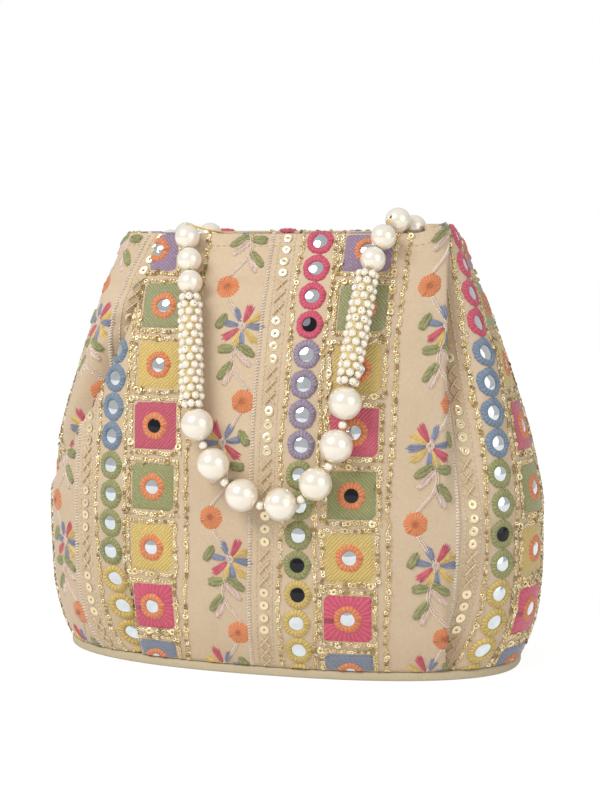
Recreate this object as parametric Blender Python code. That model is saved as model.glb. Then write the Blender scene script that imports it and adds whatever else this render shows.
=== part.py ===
"""Embroidered potli bag: a soft bucket bag with four pleats at the mouth and a strung pearl handle.

Metres, +Z up. The origin is the centre of the base's underside, and the front faces -Y.
"""
import math

import bmesh
import bpy
import numpy as np
from mathutils import Matrix, Vector

# Bag outline: half widths (X) and half depths (Y) at the base, the belly and the mouth
BAG_HEIGHT = 0.1982
BELLY_HEIGHT = 0.075
BASE_HALF_WIDTH = 0.1065
BASE_HALF_DEPTH = 0.0480
BELLY_HALF_WIDTH = 0.1185
BELLY_HALF_DEPTH = 0.0585
MOUTH_HALF_WIDTH = 0.0770
MOUTH_HALF_DEPTH = 0.0285
BASE_SQUARENESS = 2.35
MOUTH_SQUARENESS = 4.5
BOTTOM_TURN = 4.0
WIDTH_TAPER = 1.5
DEPTH_TAPER = 2.3
SQUARE_TAPER = 2.5

# Fabric wall, its turned hem, and the lining inside it
WALL = 0.0011
HEM_DEPTH = 0.0062
HEM_PROUD = 0.0004
LINING = 0.0006
LINING_GAP = 0.0019
LINING_LOOK = 0.010
FACING_DEPTH = 0.026
CLEARANCE = 0.0003

# Pleats: distance of each fold from the front centre along the cloth, and its share of the spare cloth
FRONT_RIGHT_FOLD = 0.088
FRONT_LEFT_FOLD = -0.066
BACK_FOLD = 0.080
FOLD_WIDTH = 0.0215
FOLD_WIDTH_LOW = 0.0100
FOLD_TURN = 0.0030
FOLD_EASE = 0.028
FOLD_FULL_ANGLE = 178.0
FOLD_WIDENING = 0.6
RIM_POINT_LIFT = 0.0040
RIM_POINT_OFFSET = 0.0070
RIM_POINT_WIDTH = 0.0075
RIM_BACK_LIFT = 0.0015

# Base: a stiff board in a fabric-covered tray that the wall stands on
TRAY_HEIGHT = 0.0040
TRAY_FLOOR = 0.0012
TRAY_RIM = 0.0030
TRAY_PROUD = 0.0012
TRAY_EDGE_ROUND = 0.0012

# Handle beads
LARGE_PEARL = 0.0147
MEDIUM_PEARL = 0.0114
SPACER_PEARL = 0.0038
LARGE_COUNT = 7
ROPE_LENGTH = 0.0520
ROPE_DIAMETER = 0.0120
ROPE_ROWS = 15
ROPE_BEAD_RELIEF = 0.0011
ROPE_STAND_OFF = 0.0016
BORE = 0.0016
STRING = 0.0010
BEAD_GAP = 0.0003
SLACK_GAP = 0.0008

# Handle places: where it crosses the front of the mouth, and the rings at the side seams
CROSS_LEFT_X = -0.0393
CROSS_RIGHT_X = 0.0520
CROSS_DROP = 0.0007
SEAM_DROP = 0.0092
RING_RADIUS = 0.0030
RING_WIRE = 0.0007
TAB_WIDTH = 0.0030
TAB_EYE = 0.00125
TAB_THICK = 0.0010
TAB_HEIGHT = 0.0140

# Magnetic snap sewn to the inside of the mouth
SNAP_RADIUS = 0.0070
SNAP_THICK = 0.0016
SNAP_STUD_RADIUS = 0.0028
SNAP_STUD_HEIGHT = 0.0012
SNAP_DROP = 0.0150

# How finely the cloth is drawn: heights of its rows, steps between folds, points round the lining and base
LEVELS = (0.012, 0.03, 0.055, 0.08, 0.10, 0.12, 0.14, 0.16, 0.178)
PANEL_STEPS = (7, 10, 7, 10)
LINING_STEPS = 44
BASE_STEPS = 40


def clear_scene():
    for old in list(bpy.data.objects):
        bpy.data.objects.remove(old, do_unlink=True)


def material(name, color, roughness, metallic=0.0):
    made = bpy.data.materials.new(name)
    made.use_nodes = True
    shader = made.node_tree.nodes["Principled BSDF"]
    shader.inputs["Base Color"].default_value = (*color, 1.0)
    shader.inputs["Roughness"].default_value = roughness
    shader.inputs["Metallic"].default_value = metallic
    return made


def smoothstep(value):
    value = np.clip(value, 0.0, 1.0)
    return value * value * (3.0 - 2.0 * value)


def outline_size(z):
    """Half width, half depth and squareness of the bag's outline at height z."""
    if z <= BELLY_HEIGHT:
        rise = 1.0 - (1.0 - z / BELLY_HEIGHT) ** BOTTOM_TURN
        width = BASE_HALF_WIDTH + (BELLY_HALF_WIDTH - BASE_HALF_WIDTH) * rise
        depth = BASE_HALF_DEPTH + (BELLY_HALF_DEPTH - BASE_HALF_DEPTH) * rise
        return width, depth, BASE_SQUARENESS
    part = (z - BELLY_HEIGHT) / (BAG_HEIGHT - BELLY_HEIGHT)
    width = BELLY_HALF_WIDTH - (BELLY_HALF_WIDTH - MOUTH_HALF_WIDTH) * part ** WIDTH_TAPER
    depth = BELLY_HALF_DEPTH - (BELLY_HALF_DEPTH - MOUTH_HALF_DEPTH) * part ** DEPTH_TAPER
    square = BASE_SQUARENESS + (MOUTH_SQUARENESS - BASE_SQUARENESS) * part ** SQUARE_TAPER
    return width, depth, square


def oval(width, depth, square, count=720):
    """Points of a squared oval, counter-clockwise from the front centre, and their arc lengths."""
    turn = np.linspace(-0.5 * math.pi, 1.5 * math.pi, count + 1)
    cosine = np.cos(turn)
    sine = np.sin(turn)
    x = width * np.sign(cosine) * np.abs(cosine) ** (2.0 / square)
    y = depth * np.sign(sine) * np.abs(sine) ** (2.0 / square)
    x[0] = x[-1] = 0.0
    length = np.concatenate([[0.0], np.cumsum(np.hypot(np.diff(x), np.diff(y)))])
    return x, y, length


def on_oval(outline, along):
    """Points and outward normals at arc lengths on an oval."""
    x, y, length = outline
    total = length[-1]
    step = total / 720.0

    def point(at):
        at = np.mod(at, total)
        return np.stack([np.interp(at, length, x), np.interp(at, length, y)], axis=-1)

    tangent = point(along + step) - point(along - step)
    tangent /= np.linalg.norm(tangent, axis=-1, keepdims=True)
    normal = np.stack([tangent[..., 1], -tangent[..., 0]], axis=-1)
    return point(along), normal


def girth(z):
    return oval(*outline_size(z))[2][-1]


def cloth_girth():
    return max(girth(z) for z in np.linspace(0.02, BAG_HEIGHT, 60))


def pleats():
    """Each pleat: place along the cloth, side that it steps to, and share of the spare cloth."""
    half = 0.5 * cloth_girth()
    return (
        (FRONT_RIGHT_FOLD, 1.0, 0.26),
        (half - BACK_FOLD, -1.0, 0.25),
        (half + BACK_FOLD, 1.0, 0.25),
        (2.0 * half + FRONT_LEFT_FOLD, -1.0, 0.24),
    )


def fold_shape(part, ramp):
    """0 to 1 to 0 across a fold, with rounded ramps that are a share of its width."""
    rise = np.clip((part + 0.5) / ramp, 0.0, 1.0)
    fall = np.clip((0.5 - part) / ramp, 0.0, 1.0)
    return np.sin(0.5 * math.pi * np.minimum(rise, fall)) ** 2


def fold_use(angle, ramp):
    """Share of a fold's own cloth that the fold takes up."""
    part = np.linspace(-0.5, 0.5, 201)
    return float(np.mean(1.0 - np.cos(angle * fold_shape(part, ramp))))


def fold_state(spare, z):
    """Width and turn angle of a fold that takes up the given length of cloth."""
    rise = smoothstep((z - BELLY_HEIGHT) / (FOLD_WIDENING * (BAG_HEIGHT - BELLY_HEIGHT)))
    width = FOLD_WIDTH_LOW + (FOLD_WIDTH - FOLD_WIDTH_LOW) * rise
    full = math.radians(FOLD_FULL_ANGLE)
    ramp = min(0.5, FOLD_TURN / width)
    if spare > width * fold_use(full, ramp):
        for _ in range(6):
            width = spare / fold_use(full, ramp)
            ramp = min(0.5, FOLD_TURN / width)
        return width, full, ramp
    angles = np.linspace(0.0, full, 60)
    uses = [fold_use(angle, ramp) for angle in angles]
    return width, float(np.interp(spare / width, uses, angles)), ramp


class Section:
    """The wall's middle line at one height, as a function of distance along the cloth."""

    def __init__(self, z):
        self.outline = oval(*outline_size(z))
        self.cloth = cloth_girth()
        spare = max(0.0, self.cloth - self.outline[2][-1])
        self.folds = []
        for place, side, share in pleats():
            width, angle, ramp = fold_state(share * spare, z)
            self.folds.append((place, side, width, angle, ramp))
        self.grid = np.linspace(0.0, self.cloth, 5521)
        turn = np.zeros_like(self.grid)
        for place, side, width, angle, ramp in self.folds:
            turn += side * angle * fold_shape((self.grid - place) / width, ramp)
        step = self.grid[1] - self.grid[0]
        middle = 0.5 * (turn[1:] + turn[:-1])
        forward = np.concatenate([[0.0], np.cumsum(np.cos(middle) * step)])
        self.forward = forward * self.outline[2][-1] / forward[-1]
        inward = np.concatenate([[0.0], np.cumsum(np.sin(middle) * step)])
        for place, side, width, angle, ramp in self.folds:
            inside = np.abs(self.grid - place) <= 0.5 * width
            depth = abs(float(np.sum(np.sin(turn[inside])) * step))
            if side > 0:
                inward -= depth * smoothstep((self.grid - place - 0.5 * width) / FOLD_EASE)
            else:
                inward += depth * smoothstep((self.grid - place + 0.5 * width + FOLD_EASE) / FOLD_EASE)
        self.inward = inward

    def points(self, along):
        along = np.mod(along, self.cloth)
        forward = np.interp(along, self.grid, self.forward)
        inward = np.interp(along, self.grid, self.inward)
        place, normal = on_oval(self.outline, forward)
        return place - inward[..., None] * normal

    def sides(self, along, outside, inside):
        """Outer and inner faces: the middle line moved along its own normal."""
        small = 0.00015
        tangent = self.points(along + small) - self.points(along - small)
        tangent /= np.linalg.norm(tangent, axis=-1, keepdims=True)
        normal = np.stack([tangent[..., 1], -tangent[..., 0]], axis=-1)
        middle = self.points(along)
        return middle + outside * normal, middle - inside * normal

    def cloth_places(self):
        """Places along the cloth: close together in the folds and spread out between them."""
        places = []
        ends = []
        for place, _, width, _, ramp in self.folds:
            low = place - 0.5 * width
            high = place + 0.5 * width
            turn = ramp * width
            inner = [low + turn * share for share in (0.0, 0.3, 0.5, 0.7, 1.0)]
            outer = [high - turn * share for share in (1.0, 0.7, 0.5, 0.3, 0.0)]
            places.append(inner + outer)
            ends.append((low, high))
        out = []
        for index, fold in enumerate(places):
            out += fold
            start = ends[index][1]
            finish = ends[(index + 1) % len(ends)][0]
            if finish < start:
                finish += self.cloth
            count = PANEL_STEPS[index]
            out += [start + (finish - start) * step / count for step in range(1, count)]
        return np.array(out)


def rim_lift(along):
    """How much higher than the front rim the cloth's top edge stands."""
    cloth = cloth_girth()
    along = np.mod(along, cloth)
    corner = RIM_POINT_LIFT * np.exp(-((along - FRONT_RIGHT_FOLD + RIM_POINT_OFFSET) / RIM_POINT_WIDTH) ** 2)
    back = RIM_BACK_LIFT * 0.5 * (1.0 - np.cos(2.0 * math.pi * along / cloth))
    return corner + back


def ring_mesh(name, rings, closed_tube):
    """Mesh of quads between rings of equal count; closed_tube joins the last ring to the first."""
    mesh = bpy.data.meshes.new(name)
    made = bmesh.new()
    verts = [[made.verts.new(point) for point in ring] for ring in rings]
    count = len(rings[0])
    pairs = list(zip(verts[:-1], verts[1:]))
    if closed_tube:
        pairs.append((verts[-1], verts[0]))
    for low, high in pairs:
        for index in range(count):
            after = (index + 1) % count
            made.faces.new((low[index], low[after], high[after], high[index]))
    if not closed_tube:
        made.faces.new(list(reversed(verts[0])))
        made.faces.new(verts[-1])
    bmesh.ops.recalc_face_normals(made, faces=made.faces)
    if made.calc_volume(signed=True) < 0:
        bmesh.ops.reverse_faces(made, faces=made.faces)
    bmesh.ops.triangulate(made, faces=[face for face in made.faces if len(face.verts) > 4])
    made.to_mesh(mesh)
    made.free()
    mesh.shade_smooth()
    return mesh


def place(mesh, name, finish, parent=None, matrix=None):
    made = bpy.data.objects.new(name, mesh)
    bpy.context.scene.collection.objects.link(made)
    if not mesh.materials:
        mesh.materials.append(finish)
    if matrix is not None:
        made.matrix_world = matrix
    if parent is not None:
        made.parent = parent
        made.matrix_parent_inverse = parent.matrix_world.inverted()
    return made


def rows(points, z):
    if np.isscalar(z):
        z = np.full(len(points), z)
    return [(float(x), float(y), float(h)) for (x, y), h in zip(points, z)]


def outer_shell(finish):
    """The embroidered wall with its pleats and turned hem, open at the bottom and the mouth."""
    foot = TRAY_HEIGHT + CLEARANCE
    heights = [foot] + [level for level in LEVELS if foot < level < BAG_HEIGHT - 1.5 * HEM_DEPTH]
    heights += [BAG_HEIGHT - HEM_DEPTH - 0.0006, BAG_HEIGHT - HEM_DEPTH, BAG_HEIGHT]
    outer = []
    inner = []
    for level in heights:
        section = Section(level)
        along = section.cloth_places()
        proud = HEM_PROUD if level >= BAG_HEIGHT - HEM_DEPTH else 0.0
        outside, inside = section.sides(along, 0.5 * WALL + proud, 0.5 * WALL)
        lifted = level + rim_lift(along) * (level / BAG_HEIGHT) ** 6
        outer.append(rows(outside, lifted))
        inner.append(rows(inside, lifted))
    return place(ring_mesh("outer_shell", outer + inner[::-1], True), "outer_shell", finish)


def wall_depth(section, along, reach):
    """How far inside the outline the wall's folds come near each place."""
    depth = np.zeros_like(along)
    total = section.outline[2][-1]
    for index, at in enumerate(along):
        apart = np.abs(np.mod(section.forward - at + 0.5 * total, total) - 0.5 * total)
        depth[index] = max(0.0, float(section.inward[apart < reach].max()))
    return depth


def lining(finish):
    """Thin bag inside the wall, from the board up to the seam under the turned-in facing."""
    foot = TRAY_HEIGHT + CLEARANCE
    top = BAG_HEIGHT - FACING_DEPTH
    heights = [foot] + [level for level in LEVELS if foot < level < top - 0.004] + [top]
    count = LINING_STEPS
    outer = []
    inner = []
    for level in heights:
        section = Section(level)
        total = section.outline[2][-1]
        along = np.arange(count) * total / count
        near = wall_depth(section, along, 2.2 * total / count)
        for beside in (level - LINING_LOOK, level + LINING_LOOK):
            if BELLY_HEIGHT < beside < BAG_HEIGHT:
                near = np.maximum(near, wall_depth(Section(beside), along, 2.2 * total / count))
        point, normal = on_oval(section.outline, along)
        out = near + 0.5 * WALL + LINING_GAP
        outer.append(rows(point - out[:, None] * normal, level))
        inner.append(rows(point - (out + LINING)[:, None] * normal, level))
    inner[0] = [(x, y, foot + LINING) for x, y, _ in inner[0]]
    bottom = [[(0.0, 0.0, z)] for z in (foot, foot + LINING)]
    mesh = bpy.data.meshes.new("lining")
    made = bmesh.new()
    rings = [[made.verts.new(point) for point in ring] for ring in outer + inner[::-1]]
    for low, high in zip(rings[:-1], rings[1:]):
        for index in range(count):
            after = (index + 1) % count
            made.faces.new((low[index], low[after], high[after], high[index]))
    under = made.verts.new(bottom[0][0])
    over = made.verts.new(bottom[1][0])
    for index in range(count):
        after = (index + 1) % count
        made.faces.new((under, rings[0][after], rings[0][index]))
        made.faces.new((over, rings[-1][index], rings[-1][after]))
    bmesh.ops.recalc_face_normals(made, faces=made.faces)
    made.to_mesh(mesh)
    made.free()
    mesh.shade_smooth()
    return place(mesh, "lining", finish)


def base_outline(inset, z, count=BASE_STEPS):
    """The base's oval, moved in from the foot of the wall by inset."""
    outline = oval(*outline_size(TRAY_HEIGHT + CLEARANCE))
    along = np.arange(count) * outline[2][-1] / count
    point, normal = on_oval(outline, along)
    return rows(point - inset * normal, z)


def base_cover(finish):
    """Fabric-covered tray under the wall: flat underside, rounded edge, recess for the board."""
    edge = TRAY_PROUD
    turn = TRAY_EDGE_ROUND
    rings = []
    for step in range(4):
        angle = 0.5 * math.pi * step / 3
        rings.append(base_outline(-edge + turn * (1.0 - math.sin(angle)), turn * (1.0 - math.cos(angle))))
    for step in range(3):
        angle = 0.5 * math.pi * step / 2
        top = TRAY_HEIGHT - turn * (1.0 - math.sin(angle))
        rings.append(base_outline(-edge + turn * (1.0 - math.cos(angle)), top))
    rings.append(base_outline(TRAY_RIM, TRAY_HEIGHT))
    rings.append(base_outline(TRAY_RIM, TRAY_FLOOR))
    return place(ring_mesh("base_cover", rings, False), "base_cover", finish)


def base_board(finish):
    """Stiff board lying in the tray."""
    inset = TRAY_RIM + CLEARANCE
    rings = [base_outline(inset, TRAY_FLOOR + CLEARANCE), base_outline(inset, TRAY_HEIGHT - CLEARANCE)]
    return place(ring_mesh("base_board", rings, False), "base_board", finish)


def turned(name, profile, segments):
    """Closed solid turned about Z from a closed profile of (radius, height)."""
    rings = []
    for radius, height in profile:
        ring = []
        for index in range(segments):
            angle = 2.0 * math.pi * index / segments
            ring.append((radius * math.cos(angle), radius * math.sin(angle), height))
        rings.append(ring)
    return ring_mesh(name, rings, True)


def pearl_mesh(name, diameter, segments, arcs):
    """Round bead with a straight bore along Z."""
    radius = 0.5 * diameter
    start = math.asin(0.5 * BORE / radius)
    profile = []
    for step in range(arcs + 1):
        angle = start + (math.pi - 2.0 * start) * step / arcs
        profile.append((radius * math.sin(angle), radius * math.cos(angle)))
    return turned(name, profile, segments)


def rope_mesh(name):
    """Rope of small pearls: rows of four, each row turned half a step, with a bore for the string."""
    columns = 8
    steps = 2 * ROPE_ROWS
    outer = []
    for step in range(steps + 1):
        height = ROPE_LENGTH * (step / steps - 0.5)
        row = step // 2
        full = step % 2
        ring = []
        for column in range(columns):
            angle = 2.0 * math.pi * column / columns
            bump = math.cos(4.0 * angle + math.pi * (row % 2)) if full else 0.0
            end = 1.0 if 0 < step < steps else 0.0
            radius = 0.5 * ROPE_DIAMETER - ROPE_BEAD_RELIEF * (1.5 - end * (0.5 + bump))
            ring.append((radius * math.cos(angle), radius * math.sin(angle), height))
        outer.append(ring)
    bore = []
    for height in (0.5 * ROPE_LENGTH, -0.5 * ROPE_LENGTH):
        ring = []
        for column in range(columns):
            angle = 2.0 * math.pi * column / columns
            ring.append((0.5 * BORE * math.cos(angle), 0.5 * BORE * math.sin(angle), height))
        bore.append(ring)
    return ring_mesh(name, outer + bore, True)


def smooth_path(points, per_span=40):
    """Catmull-Rom curve through points chosen by hand."""
    points = [np.array(point, dtype=float) for point in points]
    padded = [2.0 * points[0] - points[1]] + points + [2.0 * points[-1] - points[-2]]
    out = []
    for index in range(1, len(padded) - 2):
        a, b, c, d = padded[index - 1:index + 3]
        for step in range(per_span):
            t = step / per_span
            out.append(0.5 * (2.0 * b + (c - a) * t + (2.0 * a - 5.0 * b + 4.0 * c - d) * t * t
                              + (3.0 * b - a - 3.0 * c + d) * t ** 3))
    out.append(points[-1])
    return np.array(out)


def front_face(x, z, radius):
    """Y of the centre of a bead that lies on the front of the bag at x and z."""
    width, depth, square = outline_size(z)
    face = depth * (1.0 - min(0.999, abs(x) / width) ** square) ** (1.0 / square)
    below = outline_size(z - 0.002)[1]
    lean = math.atan2(below - depth, 0.002)
    return -(face + 0.5 * WALL + HEM_PROUD + (radius + CLEARANCE) / math.cos(lean))


def seam_height():
    return BAG_HEIGHT - SEAM_DROP


def cross_point(x):
    """Centre of the pearl that hangs just outside the rim; both lie on one line along X."""
    height = BAG_HEIGHT - CROSS_DROP
    outer = max(-front_face(CROSS_LEFT_X, height, 0.5 * MEDIUM_PEARL),
                -front_face(CROSS_RIGHT_X, height, 0.5 * MEDIUM_PEARL))
    return np.array((x, -outer, height))


# The hanging loop's middle line on the front of the bag (x, z), chosen by hand
LOOP_GUIDE = (
    (-0.0365, 0.1865), (-0.0338, 0.1740), (-0.0310, 0.1480), (-0.0283, 0.1220),
    (-0.0245, 0.1100), (-0.0180, 0.0965), (-0.0070, 0.0848), (0.0095, 0.0790),
    (0.0255, 0.0855), (0.0360, 0.1015), (0.0403, 0.1180), (0.0410, 0.1300),
    (0.0435, 0.1550), (0.0462, 0.1780), (0.0480, 0.1870),
)
LOOP_GUIDE_HEIGHT = 0.1982
LOOP_SWING_TOP = 0.1520
LOOP_SWING_SPAN = 0.0600

# The strands inside the mouth, from the rim to the side seams, chosen by hand:
# shares of the mouth's half width and half depth, and the drop below the rim
LEFT_STRAND = (
    (-0.445, -0.640, -0.0003), (-0.597, -0.640, -0.0018), (-0.720, -0.480, 0.0020), (-0.795, -0.230, 0.0062),
)
RIGHT_STRAND = (
    (0.731, -0.895, -0.0068), (0.830, -0.560, -0.0056), (0.818, -0.290, 0.0017),
)
# Where the bare string passes over the rim before its first bead
LEFT_PASS = ((-0.409, -1.053, -0.0026), (-0.330, -0.720, -0.0010))
RIGHT_PASS = ()


def mouth_point(width, depth, drop):
    return np.array((width * MOUTH_HALF_WIDTH, depth * MOUTH_HALF_DEPTH, BAG_HEIGHT - drop))


def loop_beads():
    """Kind and length along the string of each bead of the hanging loop, left to right."""
    beads = [("pearl", MEDIUM_PEARL)] * 3 + [("rope", ROPE_LENGTH)]
    for index in range(LARGE_COUNT):
        beads.append(("large", LARGE_PEARL))
        if index < LARGE_COUNT - 1:
            beads.append(("spacer", SPACER_PEARL))
    return beads + [("rope", ROPE_LENGTH)] + [("pearl", MEDIUM_PEARL)] * 2


def lie_radius(kind, size):
    """How far a bead's centre lies off the front of the bag."""
    if kind == "rope":
        return 0.5 * ROPE_DIAMETER + ROPE_STAND_OFF
    if kind == "spacer":
        return 0.42 * LARGE_PEARL
    return 0.5 * size


def next_on(line, at, centre, need, lift):
    """First spot on a line after index at that lies need away from centre."""
    low = centre
    while at < len(line) - 1:
        at += 1
        high = lift(line[at])
        if np.linalg.norm(high - centre) >= need:
            near = np.linalg.norm(low - centre)
            far = np.linalg.norm(high - centre)
            share = (need - near) / max(far - near, 1e-9)
            return at, low + share * (high - low)
        low = high
    return at, None


def loop_chain(drop):
    """Centre and direction of each bead of the hanging loop, and how far the last falls short."""
    start = cross_point(CROSS_LEFT_X)
    finish = cross_point(CROSS_RIGHT_X)
    scale = BAG_HEIGHT / LOOP_GUIDE_HEIGHT
    guide = [(CROSS_LEFT_X, start[2])]
    for x, z in LOOP_GUIDE:
        lower = drop * float(smoothstep((LOOP_SWING_TOP - z) / LOOP_SWING_SPAN))
        guide.append((x, z * scale - lower))
    guide.append((CROSS_RIGHT_X, finish[2]))
    line = smooth_path(guide)
    beads = loop_beads()
    half_pearl = 0.5 * (MEDIUM_PEARL + BEAD_GAP)
    joint = start
    at = 0
    links = []
    for index, (kind, size) in enumerate(beads[:-1]):
        following = beads[index + 1]
        radius = max(lie_radius(kind, size), lie_radius(*following))
        need = half_pearl if index == 0 else size + BEAD_GAP

        def lift(spot, radius=radius):
            return np.array((spot[0], front_face(spot[0], spot[1], radius), spot[1]))

        at, spot = next_on(line, at, joint, need, lift)
        if spot is None:
            return None, -1.0
        way = (spot - joint) / np.linalg.norm(spot - joint)
        centre = start if index == 0 else 0.5 * (spot + joint)
        links.append((centre, way))
        joint = spot
    short = float(np.linalg.norm(joint - finish)) - half_pearl
    links.append((finish, (finish - joint) / np.linalg.norm(finish - joint)))
    return links, short


def hung_loop():
    """The loop hangs as low as its beads need to reach from one side of the mouth to the other."""
    low, high = -0.03, 0.05
    for _ in range(24):
        middle = 0.5 * (low + high)
        if loop_chain(middle)[1] > 0.0:
            high = middle
        else:
            low = middle
    return loop_chain(high)[0]


def ring_end(side):
    """Where the string is tied to the ring at a side seam."""
    return np.array((side * (eye_x() - 2.0 * RING_RADIUS - RING_WIRE - CLEARANCE), 0.0, seam_height()))


def eye_x():
    """Distance from the middle of the bag to the eye of the tab at each side seam."""
    section = Section(seam_height() - 0.5 * TAB_HEIGHT)
    along = 0.25 * section.cloth + np.linspace(-0.03, 0.03, 61)
    inside = section.sides(along, 0.0, 0.5 * WALL)[1]
    over = Section(seam_height())
    upper = over.sides(0.25 * over.cloth + np.linspace(-0.03, 0.03, 61), 0.0, 0.5 * WALL)[1]
    near = min(inside[:, 0].max(), upper[:, 0].max())
    return near - CLEARANCE - TAB_EYE - TAB_THICK


def strand(guide, side):
    """Centre and direction of each bead inside the mouth, from the rim to the side seam."""
    end = ring_end(side)
    line = smooth_path([mouth_point(*spot) for spot in guide] + [end])
    pitch = MEDIUM_PEARL + SLACK_GAP
    at, joint = next_on(line, 0, line[0], 0.5 * pitch, np.array)
    links = [(line[0], (joint - line[0]) / np.linalg.norm(joint - line[0]))]
    while True:
        at, spot = next_on(line, at, joint, pitch, np.array)
        if spot is None or np.linalg.norm(spot - end) < SLACK_GAP:
            return links
        links.append((0.5 * (spot + joint), (spot - joint) / np.linalg.norm(spot - joint)))
        joint = spot


def bead_matrix(centre, way):
    turn = Vector((0.0, 0.0, 1.0)).rotation_difference(Vector(way.tolist()))
    return Matrix.Translation(Vector(centre.tolist())) @ turn.to_matrix().to_4x4()


def string_curve(name, points, finish, parent):
    """Round string through the bores."""
    curve = bpy.data.curves.new(name, "CURVE")
    curve.dimensions = "3D"
    spline = curve.splines.new("POLY")
    spline.points.add(len(points) - 1)
    for spot, point in zip(spline.points, points):
        spot.co = (*[float(value) for value in point], 1.0)
    curve.bevel_depth = 0.5 * STRING
    curve.bevel_resolution = 2
    curve.use_fill_caps = True
    curve.resolution_u = 1
    curve.render_resolution_u = 0
    curve.materials.append(finish)
    made = bpy.data.objects.new(name, curve)
    bpy.context.scene.collection.objects.link(made)
    made.parent = parent
    made.matrix_parent_inverse = parent.matrix_world.inverted()
    return made


def through(links, sizes):
    """Where the string enters and leaves each bead."""
    points = []
    for (centre, way), size in zip(links, sizes):
        half = 0.5 * math.sqrt(max(size * size - BORE * BORE, 0.0))
        points.append(centre - way * half)
        points.append(centre + way * half)
    return points


def handle(finishes):
    """Both moving parts of the handle: the strands in the mouth and the loop in front."""
    upper = bpy.data.objects.new("handle_upper_axis", None)
    upper.location = (0.0, 0.0, seam_height())
    lower = bpy.data.objects.new("handle_loop_axis", None)
    lower.location = cross_point(CROSS_LEFT_X).tolist()
    for empty in (upper, lower):
        bpy.context.scene.collection.objects.link(empty)
    bpy.context.view_layer.update()
    meshes = {
        "pearl": pearl_mesh("medium_pearl", MEDIUM_PEARL, 10, 5),
        "large": pearl_mesh("large_pearl", LARGE_PEARL, 12, 6),
        "spacer": pearl_mesh("spacer_pearl", SPACER_PEARL, 6, 3),
        "rope": rope_mesh("bead_rope"),
    }
    links = hung_loop()
    beads = loop_beads()
    counts = {"pearl": 0, "large": 0, "spacer": 0, "rope": 0}
    labels = {"pearl": "front_pearl", "large": "large_pearl", "spacer": "spacer_pearl", "rope": "bead_rope"}
    for (kind, _), (centre, way) in zip(beads, links):
        counts[kind] += 1
        name = f"{labels[kind]}_{counts[kind]}"
        place(meshes[kind], name, finishes[kind], lower, bead_matrix(centre, way))
    points = through(links, [size for _, size in beads])
    string_curve("string_loop", points, finishes["string"], lower)
    sides = ((-1.0, "left", LEFT_STRAND, LEFT_PASS), (1.0, "right", RIGHT_STRAND, RIGHT_PASS))
    for side, label, guide, over_rim in sides:
        row = strand(guide, side)
        centre, way = links[0] if side < 0 else links[-1]
        for index, link in enumerate(row):
            place(meshes["pearl"], f"mouth_pearl_{label}_{index + 1}", finishes["pearl"], upper,
                  bead_matrix(*link))
        top = centre + side * way * (0.5 * MEDIUM_PEARL + CLEARANCE + STRING)
        points = [top] + [mouth_point(*spot) for spot in over_rim]
        points += through(row, [MEDIUM_PEARL] * len(row)) + [ring_end(side)]
        string_curve(f"string_{label}", points, finishes["string"], upper)


def seam_fittings(finishes):
    """At each side seam: a fabric tab sewn to the wall with a brass ring in its eye."""
    count = 10
    segments = 12
    eye = eye_x()
    for side, label in ((-1.0, "left"), (1.0, "right")):
        rings = []
        for index in range(segments):
            angle = 2.0 * math.pi * index / segments
            middle = Vector((math.cos(angle), math.sin(angle), 0.0))
            ring = []
            for step in range(6):
                turn = 2.0 * math.pi * step / 6
                ring.append(middle * (RING_RADIUS + RING_WIRE * math.cos(turn))
                            + Vector((0.0, 0.0, RING_WIRE * math.sin(turn))))
            rings.append(ring)
        spot = Matrix.Translation((side * (eye - RING_RADIUS), 0.0, seam_height()))
        place(ring_mesh(f"seam_ring_{label}", rings, True), f"seam_ring_{label}", finishes["brass"],
              matrix=spot)
        outline = []
        inner = []
        for step in range(count + 1):
            angle = math.pi * (1.0 - step / count)
            outline.append(((TAB_EYE + TAB_THICK) * math.cos(angle), (TAB_EYE + TAB_THICK) * math.sin(angle)))
            inner.append((TAB_EYE * math.cos(angle), TAB_EYE * math.sin(angle)))
        low = -TAB_EYE - TAB_THICK
        loop = [(-TAB_EYE - TAB_THICK, low)] + outline + [(TAB_EYE + TAB_THICK, -TAB_HEIGHT)]
        loop += [(TAB_EYE, -TAB_HEIGHT), (TAB_EYE, low)]
        hole = inner + [(TAB_EYE * math.cos(angle), TAB_EYE * math.sin(angle))
                        for angle in [-math.pi * step / count for step in range(1, count)]]
        place(tab_mesh(f"handle_tab_{label}", loop, hole), f"handle_tab_{label}", finishes["fabric"],
              matrix=Matrix.Translation((side * eye, 0.0, seam_height())) @ Matrix.Scale(side, 4, (1, 0, 0)))


def tab_mesh(name, outline, hole):
    """Strap of one thickness bent round an eye, drawn in X and Z and as wide as the tab along Y."""
    mesh = bpy.data.meshes.new(name)
    made = bmesh.new()
    front = []
    for points in (outline, hole):
        verts = [made.verts.new((x, -0.5 * TAB_WIDTH, z)) for x, z in points]
        front.append(verts)
        for index, vert in enumerate(verts):
            made.edges.new((vert, verts[(index + 1) % len(verts)]))
    bmesh.ops.triangle_fill(made, use_beauty=True, use_dissolve=False, edges=made.edges)
    grown = bmesh.ops.extrude_face_region(made, geom=list(made.faces))
    moved = [item for item in grown["geom"] if isinstance(item, bmesh.types.BMVert)]
    bmesh.ops.translate(made, verts=moved, vec=(0.0, TAB_WIDTH, 0.0))
    bmesh.ops.recalc_face_normals(made, faces=made.faces)
    made.to_mesh(mesh)
    made.free()
    return mesh


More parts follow.
